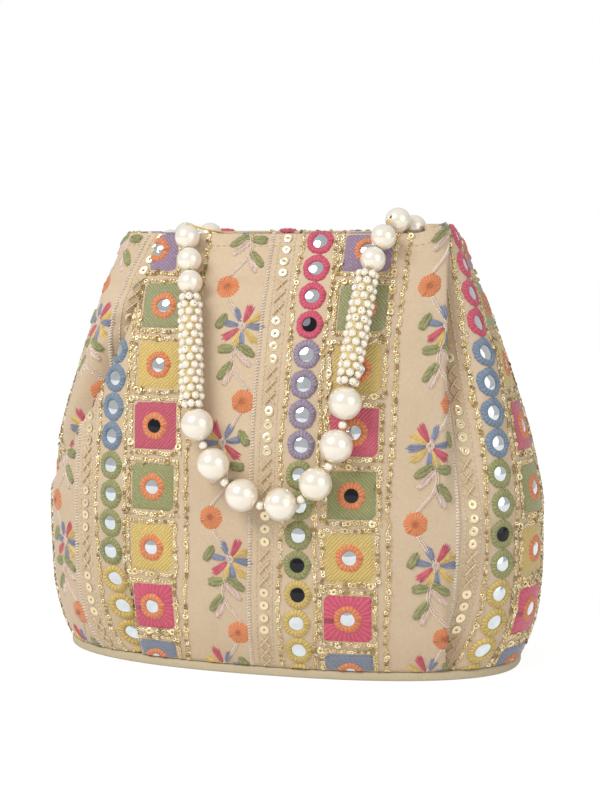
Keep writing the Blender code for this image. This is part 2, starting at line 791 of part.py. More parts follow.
def snap(finishes):
    """Magnetic snap: a socket on the front's inner face and a stud on the back's."""
    height = BAG_HEIGHT - SNAP_DROP
    depth = outline_size(height)[1]
    lean = math.atan2(outline_size(height - 0.002)[1] - outline_size(height + 0.002)[1], 0.004)
    inset = 0.5 * WALL + 2.0 * CLEARANCE
    socket = ((0.0, 0.0), (SNAP_RADIUS, 0.0), (SNAP_RADIUS, SNAP_THICK), (SNAP_STUD_RADIUS + CLEARANCE, SNAP_THICK),
              (SNAP_STUD_RADIUS + CLEARANCE, 0.4 * SNAP_THICK), (0.0, 0.4 * SNAP_THICK))
    stud = ((0.0, 0.0), (SNAP_RADIUS, 0.0), (SNAP_RADIUS, SNAP_THICK), (SNAP_STUD_RADIUS, SNAP_THICK),
            (SNAP_STUD_RADIUS, SNAP_THICK + SNAP_STUD_HEIGHT), (0.0, SNAP_THICK + SNAP_STUD_HEIGHT))
    for name, side, profile in (("snap_socket", -1.0, socket), ("snap_stud", 1.0, stud)):
        mesh = disc_mesh(name, profile)
        face = Vector((0.0, -side * math.cos(lean), -math.sin(lean)))
        way = Vector((0.0, 0.0, 1.0)).rotation_difference(face).to_matrix().to_4x4()
        spot = Vector((0.0, side * depth, height)) + face * inset
        place(mesh, name, finishes["brass"], matrix=Matrix.Translation(spot) @ way)


def disc_mesh(name, profile):
    """Solid turned about Z whose profile starts and ends on the axis."""
    segments = 16
    mesh = bpy.data.meshes.new(name)
    made = bmesh.new()
    rings = []
    for radius, height in profile[1:-1]:
        ring = []
        for index in range(segments):
            angle = 2.0 * math.pi * index / segments
            ring.append(made.verts.new((radius * math.cos(angle), radius * math.sin(angle), height)))
        rings.append(ring)
    for low, high in zip(rings[:-1], rings[1:]):
        for index in range(segments):
            after = (index + 1) % segments
            made.faces.new((low[index], low[after], high[after], high[index]))
    made.faces.new(list(reversed(rings[0])))
    made.faces.new(rings[-1])
    bmesh.ops.recalc_face_normals(made, faces=made.faces)
    made.to_mesh(mesh)
    made.free()
    return mesh


def build():
    clear_scene()
    finishes = {
        "cloth": material("embroidered_cloth", (0.74, 0.60, 0.43), 0.85),
        "lining": material("lining_cloth", (0.80, 0.72, 0.58), 0.80),
        "fabric": material("plain_cloth", (0.70, 0.62, 0.48), 0.85),
        "board": material("grey_board", (0.45, 0.42, 0.38), 0.90),
        "brass": material("brass", (0.80, 0.60, 0.28), 0.30, 1.0),
        "pearl": material("pearl", (0.93, 0.88, 0.76), 0.18),
        "string": material("yellow_thread", (0.80, 0.62, 0.25), 0.60),
    }
    for kind in ("large", "spacer", "rope"):
        finishes[kind] = finishes["pearl"]
    outer_shell(finishes["cloth"])
    lining(finishes["lining"])
    base_cover(finishes["fabric"])
    base_board(finishes["board"])
    seam_fittings(finishes)
    snap(finishes)
    handle(finishes)


build()
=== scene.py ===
"""Dresses the potli bag: embroidered georgette, mirrors, gold chain, lining, pearls and netted bead ropes.

Metres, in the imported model's frame. A place on the cloth is (s, m): s runs along the cloth from the
front centre towards +X, and m runs up it from the base, both measured on the cloth itself.
"""
import math
import random

import bpy
import numpy as np
from mathutils import Matrix, Vector


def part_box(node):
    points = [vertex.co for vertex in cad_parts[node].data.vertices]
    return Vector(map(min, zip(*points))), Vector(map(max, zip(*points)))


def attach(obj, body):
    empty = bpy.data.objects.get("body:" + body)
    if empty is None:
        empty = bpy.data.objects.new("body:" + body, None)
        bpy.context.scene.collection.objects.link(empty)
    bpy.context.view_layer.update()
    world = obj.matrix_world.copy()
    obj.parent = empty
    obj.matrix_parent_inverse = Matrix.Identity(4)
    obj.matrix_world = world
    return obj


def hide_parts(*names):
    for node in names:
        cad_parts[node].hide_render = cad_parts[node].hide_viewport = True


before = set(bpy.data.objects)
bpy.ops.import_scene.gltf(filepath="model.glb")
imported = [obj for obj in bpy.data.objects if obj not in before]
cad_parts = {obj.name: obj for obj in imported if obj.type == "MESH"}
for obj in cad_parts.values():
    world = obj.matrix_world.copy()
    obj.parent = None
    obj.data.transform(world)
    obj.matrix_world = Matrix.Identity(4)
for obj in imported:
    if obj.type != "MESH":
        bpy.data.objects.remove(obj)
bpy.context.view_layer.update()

# The bag's form; its soft wall's pleats are drawn a little closer to the photograph than in the solids
BAG_HEIGHT = 0.1982
BELLY_HEIGHT = 0.075
BASE_HALF_WIDTH = 0.1065
BASE_HALF_DEPTH = 0.0480
BELLY_HALF_WIDTH = 0.1185
BELLY_HALF_DEPTH = 0.0585
MOUTH_HALF_WIDTH = 0.0770
MOUTH_HALF_DEPTH = 0.0285
BASE_SQUARENESS = 2.35
MOUTH_SQUARENESS = 4.5
BOTTOM_TURN = 4.0
WIDTH_TAPER = 1.35
DEPTH_TAPER = 2.3
SQUARE_TAPER = 2.5
WALL = 0.0011
HEM_DEPTH = 0.0062
HEM_PROUD = 0.0004
HEM_TURN = np.array([0.33, 0.67, 1.0, 1.33, 1.67, 2.0])
LINING = 0.0006
LINING_GAP = 0.0012
FINE_ROWS_FROM = 0.166
FACING_DEPTH = 0.026
FACING_SLOPE = 0.97
FRONT_RIGHT_FOLD = 0.087
FRONT_LEFT_FOLD = -0.064
FRONT_LEFT_LEAN = 4.5
BACK_FOLD = 0.080
FOLD_WIDTH = 0.0140
FOLD_WIDTH_LOW = 0.0100
FOLD_TURN = 0.0030
FOLD_EASE = 0.018
FOLD_FULL_ANGLE = 178.0
LOW_SHARES = (0.26, 0.25, 0.24)
HIGH_SHARES = (0.115, 0.365, 0.155)
FOLD_WIDENING = 0.6
RIM_POINT_LIFT = 0.0040
RIM_POINT_WIDTH = 0.0180
RIM_POINT_START = 0.0240
RIM_POINT_END = 0.0400
RIM_POINT_FALL = 0.022
RIM_BACK_LIFT = 0.0015
TRAY_HEIGHT = 0.0040
TRAY_PROUD = 0.0012
TRAY_ROUND = 0.0012
TRAY_FLOOR = 0.0012
FOOT = 0.0043
LARGE_PEARL = 0.0147
MEDIUM_PEARL = 0.0114
SPACER_PEARL = 0.0038
ROPE_LENGTH = 0.0520
ROPE_DIAMETER = 0.0120
ROPE_BEAD = 0.0036
ROPE_ROWS = 15
ROPE_AROUND = 6
BORE = 0.0016

# The embroidery's repeat along the cloth, and each band's place in it, from a mirror column
REPEAT = 0.0925
MIRRORS_AT = 0.0174
MIRRORS_LEAN = 0.021
SQUARES = 0.0230
CHAINS = (-0.0080, 0.0080, 0.0400)
VINE = 0.0590
BRAID = 0.0705
STRIP = 0.0775
RING_PITCH = 0.0134
RING_FIRST = 0.0012
RING_WIDE = 0.0125
RING_TALL = 0.0134
MIRROR = 0.0068
SQUARE_PITCH = 0.0278
SQUARE_FIRST = 0.0032
SQUARE = 0.0220
SQUARE_FRAME = 0.0244
BESIDE_PEARL = 0.0076
VINE_PITCH = 0.0525
VINE_FIRST = 0.0218
VINE_SWING = 0.0068
FLOWER = 0.0057
STITCH_PITCH = 0.00135
STRIP_PITCH = 0.0058
STRIP_EDGE = 0.0036

# Colours as they look, written as sRGB
CREAM = (0.86, 0.77, 0.64)
THREAD_CREAM = (0.98, 0.91, 0.82)
BLUSH = (0.96, 0.85, 0.78)
YELLOW = (0.90, 0.78, 0.46)
GREEN = (0.65, 0.65, 0.43)
BLUE = (0.53, 0.60, 0.68)
LAVENDER = (0.66, 0.60, 0.68)
PINK = (0.88, 0.37, 0.47)
ROSE = (0.84, 0.38, 0.46)
ORANGE = (0.94, 0.58, 0.38)
MAUVE = (0.66, 0.56, 0.66)
SAGE = (0.66, 0.66, 0.47)
GREY_BLUE = (0.55, 0.58, 0.65)
GOLD = (0.88, 0.78, 0.56)
PALE_GOLD = (0.95, 0.89, 0.72)
DARK_GOLD = (0.66, 0.55, 0.35)
GOLDS = (GOLD, GOLD, PALE_GOLD, PALE_GOLD, GOLD, DARK_GOLD)
PETAL_BLUE = (0.58, 0.60, 0.69)
PETAL_PINK = (0.88, 0.42, 0.48)
PETAL_YELLOW = (0.95, 0.81, 0.50)
LEAF_GREEN = (0.66, 0.66, 0.45)

dice = random.Random(7)


def sway(most):
    return dice.uniform(-most, most)


def tilted(most):
    return sway(most), sway(most)


def linear(color):
    return tuple(c / 12.92 if c <= 0.04045 else ((c + 0.055) / 1.055) ** 2.4 for c in color)


def smoothstep(value):
    value = np.clip(value, 0.0, 1.0)
    return value * value * (3.0 - 2.0 * value)


def bump(value, width):
    return np.exp(-((value / width) ** 2))


def angles_round(count):
    return 2.0 * math.pi * np.arange(count) / count


def outward(tangent):
    """Unit vectors to the right of the given ones."""
    tangent = tangent / np.linalg.norm(tangent, axis=-1, keepdims=True)
    return np.stack([tangent[..., 1], -tangent[..., 0]], axis=-1)


def at_height(points, z):
    return np.column_stack([points, np.full(len(points), z)])


def outline_size(z):
    """Half width, half depth and squareness of the bag's outline at height z."""
    if z <= BELLY_HEIGHT:
        rise = 1.0 - (1.0 - z / BELLY_HEIGHT) ** BOTTOM_TURN
        width = BASE_HALF_WIDTH + (BELLY_HALF_WIDTH - BASE_HALF_WIDTH) * rise
        depth = BASE_HALF_DEPTH + (BELLY_HALF_DEPTH - BASE_HALF_DEPTH) * rise
        return width, depth, BASE_SQUARENESS
    part = min(1.0, (z - BELLY_HEIGHT) / (BAG_HEIGHT - BELLY_HEIGHT))
    width = BELLY_HALF_WIDTH - (BELLY_HALF_WIDTH - MOUTH_HALF_WIDTH) * part ** WIDTH_TAPER
    depth = BELLY_HALF_DEPTH - (BELLY_HALF_DEPTH - MOUTH_HALF_DEPTH) * part ** DEPTH_TAPER
    square = BASE_SQUARENESS + (MOUTH_SQUARENESS - BASE_SQUARENESS) * part ** SQUARE_TAPER
    return width, depth, square


def oval(width, depth, square, count=720):
    turn = np.linspace(-0.5 * math.pi, 1.5 * math.pi, count + 1)
    cosine = np.cos(turn)
    sine = np.sin(turn)
    x = width * np.sign(cosine) * np.abs(cosine) ** (2.0 / square)
    y = depth * np.sign(sine) * np.abs(sine) ** (2.0 / square)
    x[0] = x[-1] = 0.0
    length = np.concatenate([[0.0], np.cumsum(np.hypot(np.diff(x), np.diff(y)))])
    return x, y, length


def on_oval(outline, along):
    """Points and outward normals at arc lengths on an oval."""
    x, y, length = outline
    total = length[-1]
    step = total / 720.0

    def point(at):
        at = np.mod(at, total)
        return np.stack([np.interp(at, length, x), np.interp(at, length, y)], axis=-1)

    return point(along), outward(point(along + step) - point(along - step))


GIRTH = max(oval(*outline_size(z))[2][-1] for z in np.linspace(0.02, BAG_HEIGHT, 60))


def pleats(z):
    """Each pleat: place along the cloth, side that it steps to, and share of the spare cloth."""
    if z <= BELLY_HEIGHT:
        front, back, left = LOW_SHARES
        lean = 0.0
    else:
        front, back, left = HIGH_SHARES
        lean = FRONT_LEFT_LEAN * (BAG_HEIGHT - z) ** 2
    return (
        (FRONT_RIGHT_FOLD, 1.0, front),
        (0.5 * GIRTH - BACK_FOLD, -1.0, back),
        (0.5 * GIRTH + BACK_FOLD, 1.0, back),
        (GIRTH + FRONT_LEFT_FOLD - lean, -1.0, left),
    )


def fold_shape(part, ramp):
    rise = np.clip((part + 0.5) / ramp, 0.0, 1.0)
    fall = np.clip((0.5 - part) / ramp, 0.0, 1.0)
    return np.sin(0.5 * math.pi * np.minimum(rise, fall)) ** 2


def fold_use(angle, ramp):
    return float(np.mean(1.0 - np.cos(angle * fold_shape(np.linspace(-0.5, 0.5, 201), ramp))))


def fold_state(spare, z):
    """Width and turn angle of a fold that takes up the given length of cloth."""
    rise = smoothstep((z - BELLY_HEIGHT) / (FOLD_WIDENING * (BAG_HEIGHT - BELLY_HEIGHT)))
    width = FOLD_WIDTH_LOW + (FOLD_WIDTH - FOLD_WIDTH_LOW) * rise
    full = math.radians(FOLD_FULL_ANGLE)
    ramp = min(0.5, FOLD_TURN / width)
    if spare > width * fold_use(full, ramp):
        for _ in range(6):
            width = spare / fold_use(full, ramp)
            ramp = min(0.5, FOLD_TURN / width)
        return width, full, ramp
    angles = np.linspace(0.0, full, 60)
    uses = [fold_use(angle, ramp) for angle in angles]
    return width, float(np.interp(spare / width, uses, angles)), ramp


class Section:
    """The wall's middle line at one height, as a function of distance along the cloth."""

    def __init__(self, z):
        self.outline = oval(*outline_size(z))
        spare = max(0.0, GIRTH - self.outline[2][-1])
        folds = [(place, side, *fold_state(share * spare, z)) for place, side, share in pleats(z)]
        self.grid = np.linspace(0.0, GIRTH, 5521)
        turn = np.zeros_like(self.grid)
        for place, side, width, angle, ramp in folds:
            turn += side * angle * fold_shape((self.grid - place) / width, ramp)
        step = self.grid[1] - self.grid[0]
        middle = 0.5 * (turn[1:] + turn[:-1])
        forward = np.concatenate([[0.0], np.cumsum(np.cos(middle) * step)])
        self.forward = forward * self.outline[2][-1] / forward[-1]
        inward = np.concatenate([[0.0], np.cumsum(np.sin(middle) * step)])
        self.hidden = np.zeros(len(self.grid), dtype=bool)
        for place, side, width, _, _ in folds:
            along = side * (self.grid - place)
            depth = abs(float(np.sum(np.sin(turn[np.abs(along) <= 0.5 * width])) * step))
            inward += (depth if side < 0 else 0.0) - depth * smoothstep((along - 0.5 * width) / FOLD_EASE)
            near = (along > -0.5 * width) & (along < 1.6 * width)
            way = slice(None, None, int(side))
            reach = np.maximum.accumulate(np.where(near, side * self.forward, -9.0)[way])[way]
            self.hidden |= near & (side * self.forward < reach - 0.0002)
        self.inward = inward

    def middle(self, along):
        along = np.mod(along, GIRTH)
        place, normal = on_oval(self.outline, np.interp(along, self.grid, self.forward))
        return place - np.interp(along, self.grid, self.inward)[..., None] * normal

    def faces(self, along):
        """Middle line and outward normal."""
        small = 0.00015
        return self.middle(along), outward(self.middle(along + small) - self.middle(along - small))


def rim_lift(along):
    along = np.mod(along, GIRTH)
    past = along - FRONT_RIGHT_FOLD + RIM_POINT_START
    fall = 1.0 - smoothstep((past - RIM_POINT_END) / RIM_POINT_FALL)
    corner = RIM_POINT_LIFT * smoothstep(past / RIM_POINT_WIDTH) * fall
    return corner + RIM_BACK_LIFT * 0.5 * (1.0 - np.cos(2.0 * math.pi * along / GIRTH))


# Creases: how far each stands out, its place and width along the cloth, its level, slope and breadth up it
CREASES = (
    (-0.0018, -0.022, 0.024, 0.1800, 0.04, 0.0034), (0.0010, -0.022, 0.024, 0.1740, 0.04, 0.0040),
    (-0.0008, -0.052, 0.018, 0.1900, 0.04, 0.0022), (-0.0007, 0.052, 0.024, 0.1825, -0.25, 0.0034),
    (-0.0010, -0.093, 0.020, 0.1780, 0.20, 0.0034), (-0.0010, -0.093, 0.020, 0.1635, -0.15, 0.0034),
    (0.0008, 0.126, 0.016, 0.1090, 0.30, 0.0060), (-0.0009, 0.118, 0.020, 0.2040, -0.35, 0.0038),
)


def creases(s, m):
    """Soft wrinkles of the stiff cloth: how far its surface stands out at each place."""
    s = np.mod(s + 0.5 * GIRTH, GIRTH) - 0.5 * GIRTH
    out = 0.00030 * np.sin(61.0 * s + 34.0 * m + 0.6) * np.sin(47.0 * m - 19.0 * s)
    out += 0.00016 * np.sin(173.0 * s - 88.0 * m) * np.sin(131.0 * m + 2.0)
    for stands, at, wide, level, slope, broad in CREASES:
        out += stands * bump(s - at, wide) * bump(m - level - slope * s, broad)
    return out * smoothstep(m / 0.02) * (1.0 - 0.7 * smoothstep((m - 0.194) / 0.008))


class Cloth:
    """The wall's surface over (s, m): up the outside, over the rim and down the facing inside."""

    def __init__(self):
        heights = np.linspace(0.0, BAG_HEIGHT, 400)
        depths = np.array([outline_size(z)[1] for z in heights])
        rise = np.concatenate([[0.0], np.cumsum(np.hypot(np.diff(heights), np.diff(depths)))])
        self.rim = rise[-1]
        self.over = 0.5 * math.pi * (0.5 * WALL + HEM_PROUD)
        self.end = self.rim + 2.0 * self.over + FACING_DEPTH
        self.foot = float(np.interp(FOOT, heights, rise))
        self.heights = heights
        self.rise = rise
        self.step_s = GIRTH / 1180
        self.s = np.arange(1181) * self.step_s
        levels = np.concatenate([np.linspace(0.0, self.rim, 206),
                                 self.rim + self.over * HEM_TURN,
                                 np.linspace(self.rim + 2.0 * self.over, self.end, 28)[1:]])
        places = []
        normals = []
        hidden = []
        for level in levels:
            side = 0.5 * math.pi * np.clip((level - self.rim) / self.over, 0.0, 2.0)
            down = max(0.0, level - self.rim - 2.0 * self.over)
            z = float(np.interp(min(level, self.rim), rise, heights)) - down * FACING_SLOPE
            section = Section(z)
            middle, normal = section.faces(self.s)
            proud = HEM_PROUD * float(smoothstep((z - BAG_HEIGHT + HEM_DEPTH + 0.0005) / 0.0008))
            thick = (0.5 * WALL + proud) * math.cos(side)
            top = (0.5 * WALL + HEM_PROUD) * math.sin(side)
            soft = creases(self.s, np.interp(z, heights, rise))
            flat = middle + (thick + soft)[:, None] * normal
            lift = z + rim_lift(self.s) * (z / BAG_HEIGHT) ** 6 + top
            places.append(np.column_stack([flat, lift]))
            normals.append(at_height(normal * math.cos(side), math.sin(side)))
            hidden.append(np.interp(self.s, section.grid, section.hidden) > 0.5)
        self.levels = levels
        self.places = np.array(places)
        self.normals = np.array(normals)
        self.hidden = np.array(hidden)

    def spot(self, s, m):
        column = np.mod(s, GIRTH) / self.step_s
        row = np.interp(m, self.levels, np.arange(len(self.levels)))
        i = np.clip(row.astype(int), 0, len(self.levels) - 2)
        j = np.clip(column.astype(int), 0, len(self.s) - 2)
        return i, j, (row - i)[:, None], (column - j)[:, None]

    def at(self, s, m, h):
        """Points at (s, m) that stand h off the cloth."""
        i, j, a, b = self.spot(np.asarray(s, float), np.asarray(m, float))

        def mix(table):
            low = table[i, j] * (1 - b) + table[i, j + 1] * b
            return low * (1 - a) + (table[i + 1, j] * (1 - b) + table[i + 1, j + 1] * b) * a

        normal = mix(self.normals)
        normal /= np.linalg.norm(normal, axis=1, keepdims=True)
        return mix(self.places) + np.asarray(h)[:, None] * normal

    def shows(self, s, m):
        i, j, _, _ = self.spot(np.asarray(s, float), np.asarray(m, float))
        return ~self.hidden[i, j]


cloth = Cloth()


def make_piece(name, finish, verts, faces, tint=None, grain=None):
    """One object; tint is its colour at each point, and grain the distance across its threads."""
    mesh = bpy.data.meshes.new(name)
    mesh.from_pydata(np.asarray(verts).tolist(), [], faces if isinstance(faces, list) else faces.tolist())
    if tint is not None:
        colors = mesh.attributes.new("tint", "FLOAT_COLOR", "POINT")
        colors.data.foreach_set("color", np.column_stack([tint, np.ones(len(tint))]).ravel())
        across = mesh.attributes.new("grain", "FLOAT", "POINT")
        across.data.foreach_set("value", np.asarray(grain, dtype=float))
    mesh.shade_smooth()
    mesh.validate()
    mesh.materials.append(finish)
    made = bpy.data.objects.new(name, mesh)
    bpy.context.scene.collection.objects.link(made)
    return made


def dress(made, body, node=None):
    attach(made, body)
    if node is not None:
        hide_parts(node)
    return made


def lattice(rows, columns, closed=True):
    """Quads of a grid whose columns close on themselves if closed."""
    last = columns if closed else columns - 1
    row, column = np.meshgrid(np.arange(rows - 1), np.arange(last), indexing="ij")
    a = (row * columns + column).ravel()
    b = (row * columns + (column + 1) % columns).ravel()
    return np.column_stack([a, b, b + columns, a + columns])


def triangles(quads):
    return np.vstack([quads[:, [0, 1, 2]], quads[:, [0, 2, 3]]])


def turned(profile, count):
    """A row of points round the z axis for each radius and height of a profile."""
    angles = angles_round(count)
    round_axis = np.column_stack([np.cos(angles), np.sin(angles)]).T
    rows = [np.vstack([radius * round_axis, height + 0.0 * angles]).T for radius, height in profile]
    return np.vstack(rows)


def make_capped(name, finish, rows, low, high):
    """Form of rows of points round the z axis, closed at the heights low and high."""
    count = len(rows[0])
    faces = lattice(len(rows), count).tolist()
    verts = np.vstack(rows + [[[0.0, 0.0, low], [0.0, 0.0, high]]])
    last = (len(rows) - 1) * count
    for k in range(count):
        after = (k + 1) % count
        faces.append([len(verts) - 2, after, k])
        faces.append([len(verts) - 1, last + k, last + after])
    return make_piece(name, finish, verts, faces)


class Wiring:
    """Short hand for wiring nodes."""

    def __init__(self, tree):
        self.tree = tree

    def add(self, kind, **values):
        node = self.tree.nodes.new(kind)
        for key, value in values.items():
            if hasattr(node, key):
                setattr(node, key, value)
            else:
                node.inputs[key.replace("_", " ")].default_value = value
        return node

    def join(self, out, into):
        self.tree.links.new(out, into)

    def noise(self, scale, detail=2.0):
        node = self.add("ShaderNodeTexNoise", Scale=scale, Detail=detail)
        self.join(self.add("ShaderNodeTexCoord").outputs["Object"], node.inputs["Vector"])
        return node.outputs["Fac"]

    def attribute(self, name, output):
        return self.add("ShaderNodeAttribute", attribute_name=name).outputs[output]

    def math(self, operation, first, second=None):
        node = self.add("ShaderNodeMath", operation=operation)
        for value, socket in zip((first, second), node.inputs):
            if value is None:
                continue
            if isinstance(value, (int, float)):
                socket.default_value = value
            else:
                self.join(value, socket)
        return node.outputs[0]

    def mix(self, factor, first, second):
        """Mix of two colours, each a socket or a colour as it looks."""
        node = self.add("ShaderNodeMix", data_type="RGBA")
        for value, socket in zip((factor, first, second), (node.inputs[0], node.inputs[6], node.inputs[7])):
            if isinstance(value, (int, float)):
                socket.default_value = value
            elif isinstance(value, tuple):
                socket.default_value = (*linear(value), 1.0)
            else:
                self.join(value, socket)
        return node.outputs[2]


class Finish(Wiring):
    """One material; values are inputs of its shader."""

    def __init__(self, name, **values):
        self.material = bpy.data.materials.new(name)
        self.material.use_nodes = True
        super().__init__(self.material.node_tree)
        self.shader = self.tree.nodes["Principled BSDF"]
        for key, value in values.items():
            self.shader.inputs[key.replace("_", " ")].default_value = value

    def color(self, value):
        self.join(value, self.shader.inputs["Base Color"])

    def bumped(self, height, strength, distance):
        node = self.add("ShaderNodeBump", Strength=strength, Distance=distance)
        self.join(height, node.inputs["Height"])
        self.join(node.outputs["Normal"], self.shader.inputs["Normal"])


def georgette():
    """Sheer crinkled cream cloth over a stiff backing."""
    made = Finish("georgette", Roughness=0.82, Sheen_Weight=0.25, Sheen_Roughness=0.4)
    broad = made.noise(38.0, 3.0)
    fine = made.noise(900.0)
    tone = made.mix(broad, (0.81, 0.725, 0.605), (0.89, 0.81, 0.70))
    made.color(made.mix(made.math("MULTIPLY", fine, 0.5), tone, (0.72, 0.60, 0.46)))
    made.bumped(made.math("ADD", fine, made.noise(260.0)), 0.35, 0.0003)
    return made.material


def plain_cloth(name, first, second, scale, strength):
    made = Finish(name, Roughness=0.85, Sheen_Weight=0.15)
    fine = made.noise(scale)
    made.color(made.mix(fine, first, second))
    made.bumped(fine, strength, 0.0003)
    return made.material


def silk_thread(name, pitch, roughness):
    """Embroidery thread: tint gives its colour and grain the distance across the stitches."""
    made = Finish(name, Roughness=roughness, Sheen_Weight=0.3, Sheen_Roughness=0.35)
    tint = made.attribute("tint", "Color")
    waver = made.math("MULTIPLY", made.noise(420.0, 1.0), 0.0012)
    across = made.math("ADD", made.attribute("grain", "Fac"), waver)
    wave = made.math("SINE", made.math("MULTIPLY", across, 2.0 * math.pi / pitch))
    ridges_and_groove_shade = made.math("ADD", made.math("MULTIPLY", wave, 0.5), made.noise(1500.0))
    # Painted shade: the thread is darkened by up to 28% in the grooves between the stitch ridges, together
    # with random fibre tone; the same ridges also bump the surface
    made.color(made.mix(made.math("MULTIPLY", ridges_and_groove_shade, 0.95), made.mix(0.28, tint, (0.0, 0.0, 0.0)), tint))
    made.bumped(ridges_and_groove_shade, 0.7, 0.0004)
    return made.material


def sequin_metal():
    made = Finish("gold_sequin", Roughness=0.24, Metallic=0.7)
    made.color(made.attribute("tint", "Color"))
    made.bumped(made.noise(1400.0, 1.0), 0.25, 0.0002)
    return made.material


def mirror_glass(name, color):
    made = Finish(name, Roughness=0.04, Metallic=1.0, Coat_Weight=0.5)
    cloud = made.noise(240.0, 1.0)
    made.color(made.mix(cloud, color, tuple(0.86 * c for c in color)))
    return made.material


def pearl_finish():
    made = Finish("pearl_lacquer", Roughness=0.20, Metallic=0.32, Coat_Weight=0.7, Coat_Roughness=0.08,
                  Sheen_Weight=0.15, Subsurface_Weight=0.12, Subsurface_Radius=(0.004, 0.003, 0.002))
    made.color(made.mix(made.noise(130.0), (0.96, 0.92, 0.84), (0.99, 0.96, 0.91)))
    return made.material


def metal(name, color, roughness):
    made = Finish(name, Roughness=roughness, Metallic=1.0)
    fine = made.noise(600.0)
    made.color(made.mix(fine, color, tuple(0.8 * c for c in color)))
    made.bumped(fine, 0.1, 0.0001)
    return made.material


GEORGETTE = georgette()
THREAD = silk_thread("silk_thread", 0.0010, 0.55)
SATIN = silk_thread("satin_stitch", 0.00125, 0.45)
SEQUIN = sequin_metal()
GLASS = mirror_glass("mirror_glass", (0.90, 0.92, 0.93))
# Mirror glass with a painted dark reflection: a few mirrors are coloured near black to stand for the dark
# things that they reflect
DARK_REFLECTION_GLASS = mirror_glass("painted_dark_reflection_glass", (0.12, 0.12, 0.14))
PEARL = pearl_finish()
BRASS = metal("light_gold_plate", (0.88, 0.74, 0.45), 0.25)


# Flat shapes for the embroidery: local (x along the cloth, y up it, height), triangles, and grain
DOME_EDGE = -0.0002


def dome(outline, height, rings=3, grain=None, flat=0.0):
    """Crowned patch inside a star-shaped outline."""
    count = len(outline)
    middle = outline.mean(axis=0)
    verts = [[[*middle, height]]]
    for share in np.arange(1, rings + 1) / rings:
        rise = math.sqrt(max(0.0, 1.0 - max(0.0, (share - flat) / (1.0 - flat)) ** 2))
        verts.append(at_height(middle + (outline - middle) * share, DOME_EDGE + (height - DOME_EDGE) * rise))
    verts = np.vstack(verts)
    fan = [(0, 1 + k, 1 + (k + 1) % count) for k in range(count)]
    faces = np.vstack([fan, triangles(1 + lattice(rings, count)[:, [0, 3, 2, 1]])])
    return verts, faces, verts[:, 0] if grain is None else grain(verts)


def stitched_ring(wide, tall, hole, stitches, height):
    """Ring of radial stitches round a mirror: ridged, with an uneven outer edge."""
    count = 2 * stitches
    angle = angles_round(count)
    stitch = np.arange(count) % 2 == 1
    waver = 1.0 + 0.022 * np.sin(5.0 * angle + 1.0) + 0.016 * np.sin(11.0 * angle)
    outer = 0.5 * np.hypot(wide * np.cos(angle), tall * np.sin(angle)) * waver * np.where(stitch, 1.0, 0.965)
    profile = []
    for share, rise in ((0.0, -0.0001), (0.10, 0.62), (0.38, 1.0), (0.72, 0.80), (1.0, -0.05)):
        level = height * rise * np.where(stitch, 1.0, 0.80)
        profile.append((0.5 * hole + (outer - 0.5 * hole) * share, level))
    grain = np.tile(0.00031 * np.arange(count), len(profile))
    return turned(profile, count), triangles(lattice(len(profile), count)[:, ::-1]), grain


def circle(radius, count, wobble=0.0, phase=0.0):
    angles = angles_round(count)
    uneven = np.sin(3.0 * angles + phase) + 0.6 * np.sin(5.0 * angles + 2 * phase)
    size = radius * (1.0 + wobble * uneven)
    return np.column_stack([size * np.cos(angles), size * np.sin(angles)])


def ring_link(radius, hole, thick, segments=7):
    """Small pierced sequin."""
    verts = turned(((radius, 0.0), (0.5 * (radius + hole), thick), (hole, 0.0)), segments)
    return verts, triangles(lattice(3, segments)[:, ::-1]), np.zeros(len(verts))


def hem_stitch():
    steps = np.linspace(0.0, 1.0, 9)
    half = 0.0003 * np.sin(math.pi * np.clip(0.06 + steps * 0.9, 0.0, 1.0)) ** 0.75
    right = np.column_stack([half, 0.0022 * steps])
    left = np.column_stack([-half, 0.0022 * steps])[::-1]
    return dome(np.vstack([right, left]), 0.0004, 2)


def stroke(length, width):
    """One raised stitch from the origin along +y."""
    x = 0.5 * width * np.array([0.7, 1.0, 0.75, 0.0, -0.75, -1.0, -0.7])
    y = length * np.array([0.0, 0.35, 0.82, 1.0, 0.82, 0.35, 0.0])
    return dome(np.column_stack([x, y]), 0.0007, 2)


class Sewn:
    """Collects shapes placed on the cloth and makes one piece of them."""

    def __init__(self, name, finish):
        self.name = name
        self.finish = finish
        self.shapes = []
        self.total = 0

    def add(self, shape, s, m, color, turn=0.0, lift=0.0, tilt=None, vary=0.05):
        verts, faces, grain = shape
        verts = np.array(verts)
        if tilt is not None:
            verts = verts @ np.array(Matrix.Rotation(tilt[0], 3, "X") @ Matrix.Rotation(tilt[1], 3, "Y"))
        cosine, sine = math.cos(turn), math.sin(turn)
        x = verts[:, 0] * cosine - verts[:, 1] * sine
        y = verts[:, 0] * sine + verts[:, 1] * cosine
        shade = 1.0 + vary * (2.0 * dice.random() - 1.0)
        tint = np.tile(np.array(linear(color)) * shade, (len(verts), 1))
        place = np.column_stack([x + s, y + m, verts[:, 2] + lift])
        self.shapes.append((place, faces + self.total, tint, grain))
        self.total += len(verts)

    def make(self):
        verts, faces, tints, grains = [np.concatenate(rows) for rows in zip(*self.shapes)]
        s, m, h = verts.T
        middle_s, middle_m = s[faces].mean(axis=1), m[faces].mean(axis=1)
        keep = cloth.shows(middle_s, np.clip(middle_m, 0.0, cloth.end))
        keep &= (middle_m > cloth.foot + 0.0002) & (middle_m < cloth.end - 0.004)
        faces = faces[keep]
        used = np.unique(faces)
        order = np.full(len(verts), -1)
        order[used] = np.arange(len(used))
        low = m < cloth.foot + 0.0002
        m = np.clip(m, cloth.foot + 0.0002, cloth.end)
        places = cloth.at(s[used], m[used], np.where(low, np.minimum(h, 0.0004), h)[used])
        made = make_piece(self.name, self.finish, places, order[faces], tints[used], grains[used])
        dress(made, "bag")


SEAM = MIRRORS_AT - 3 * REPEAT - 0.0105


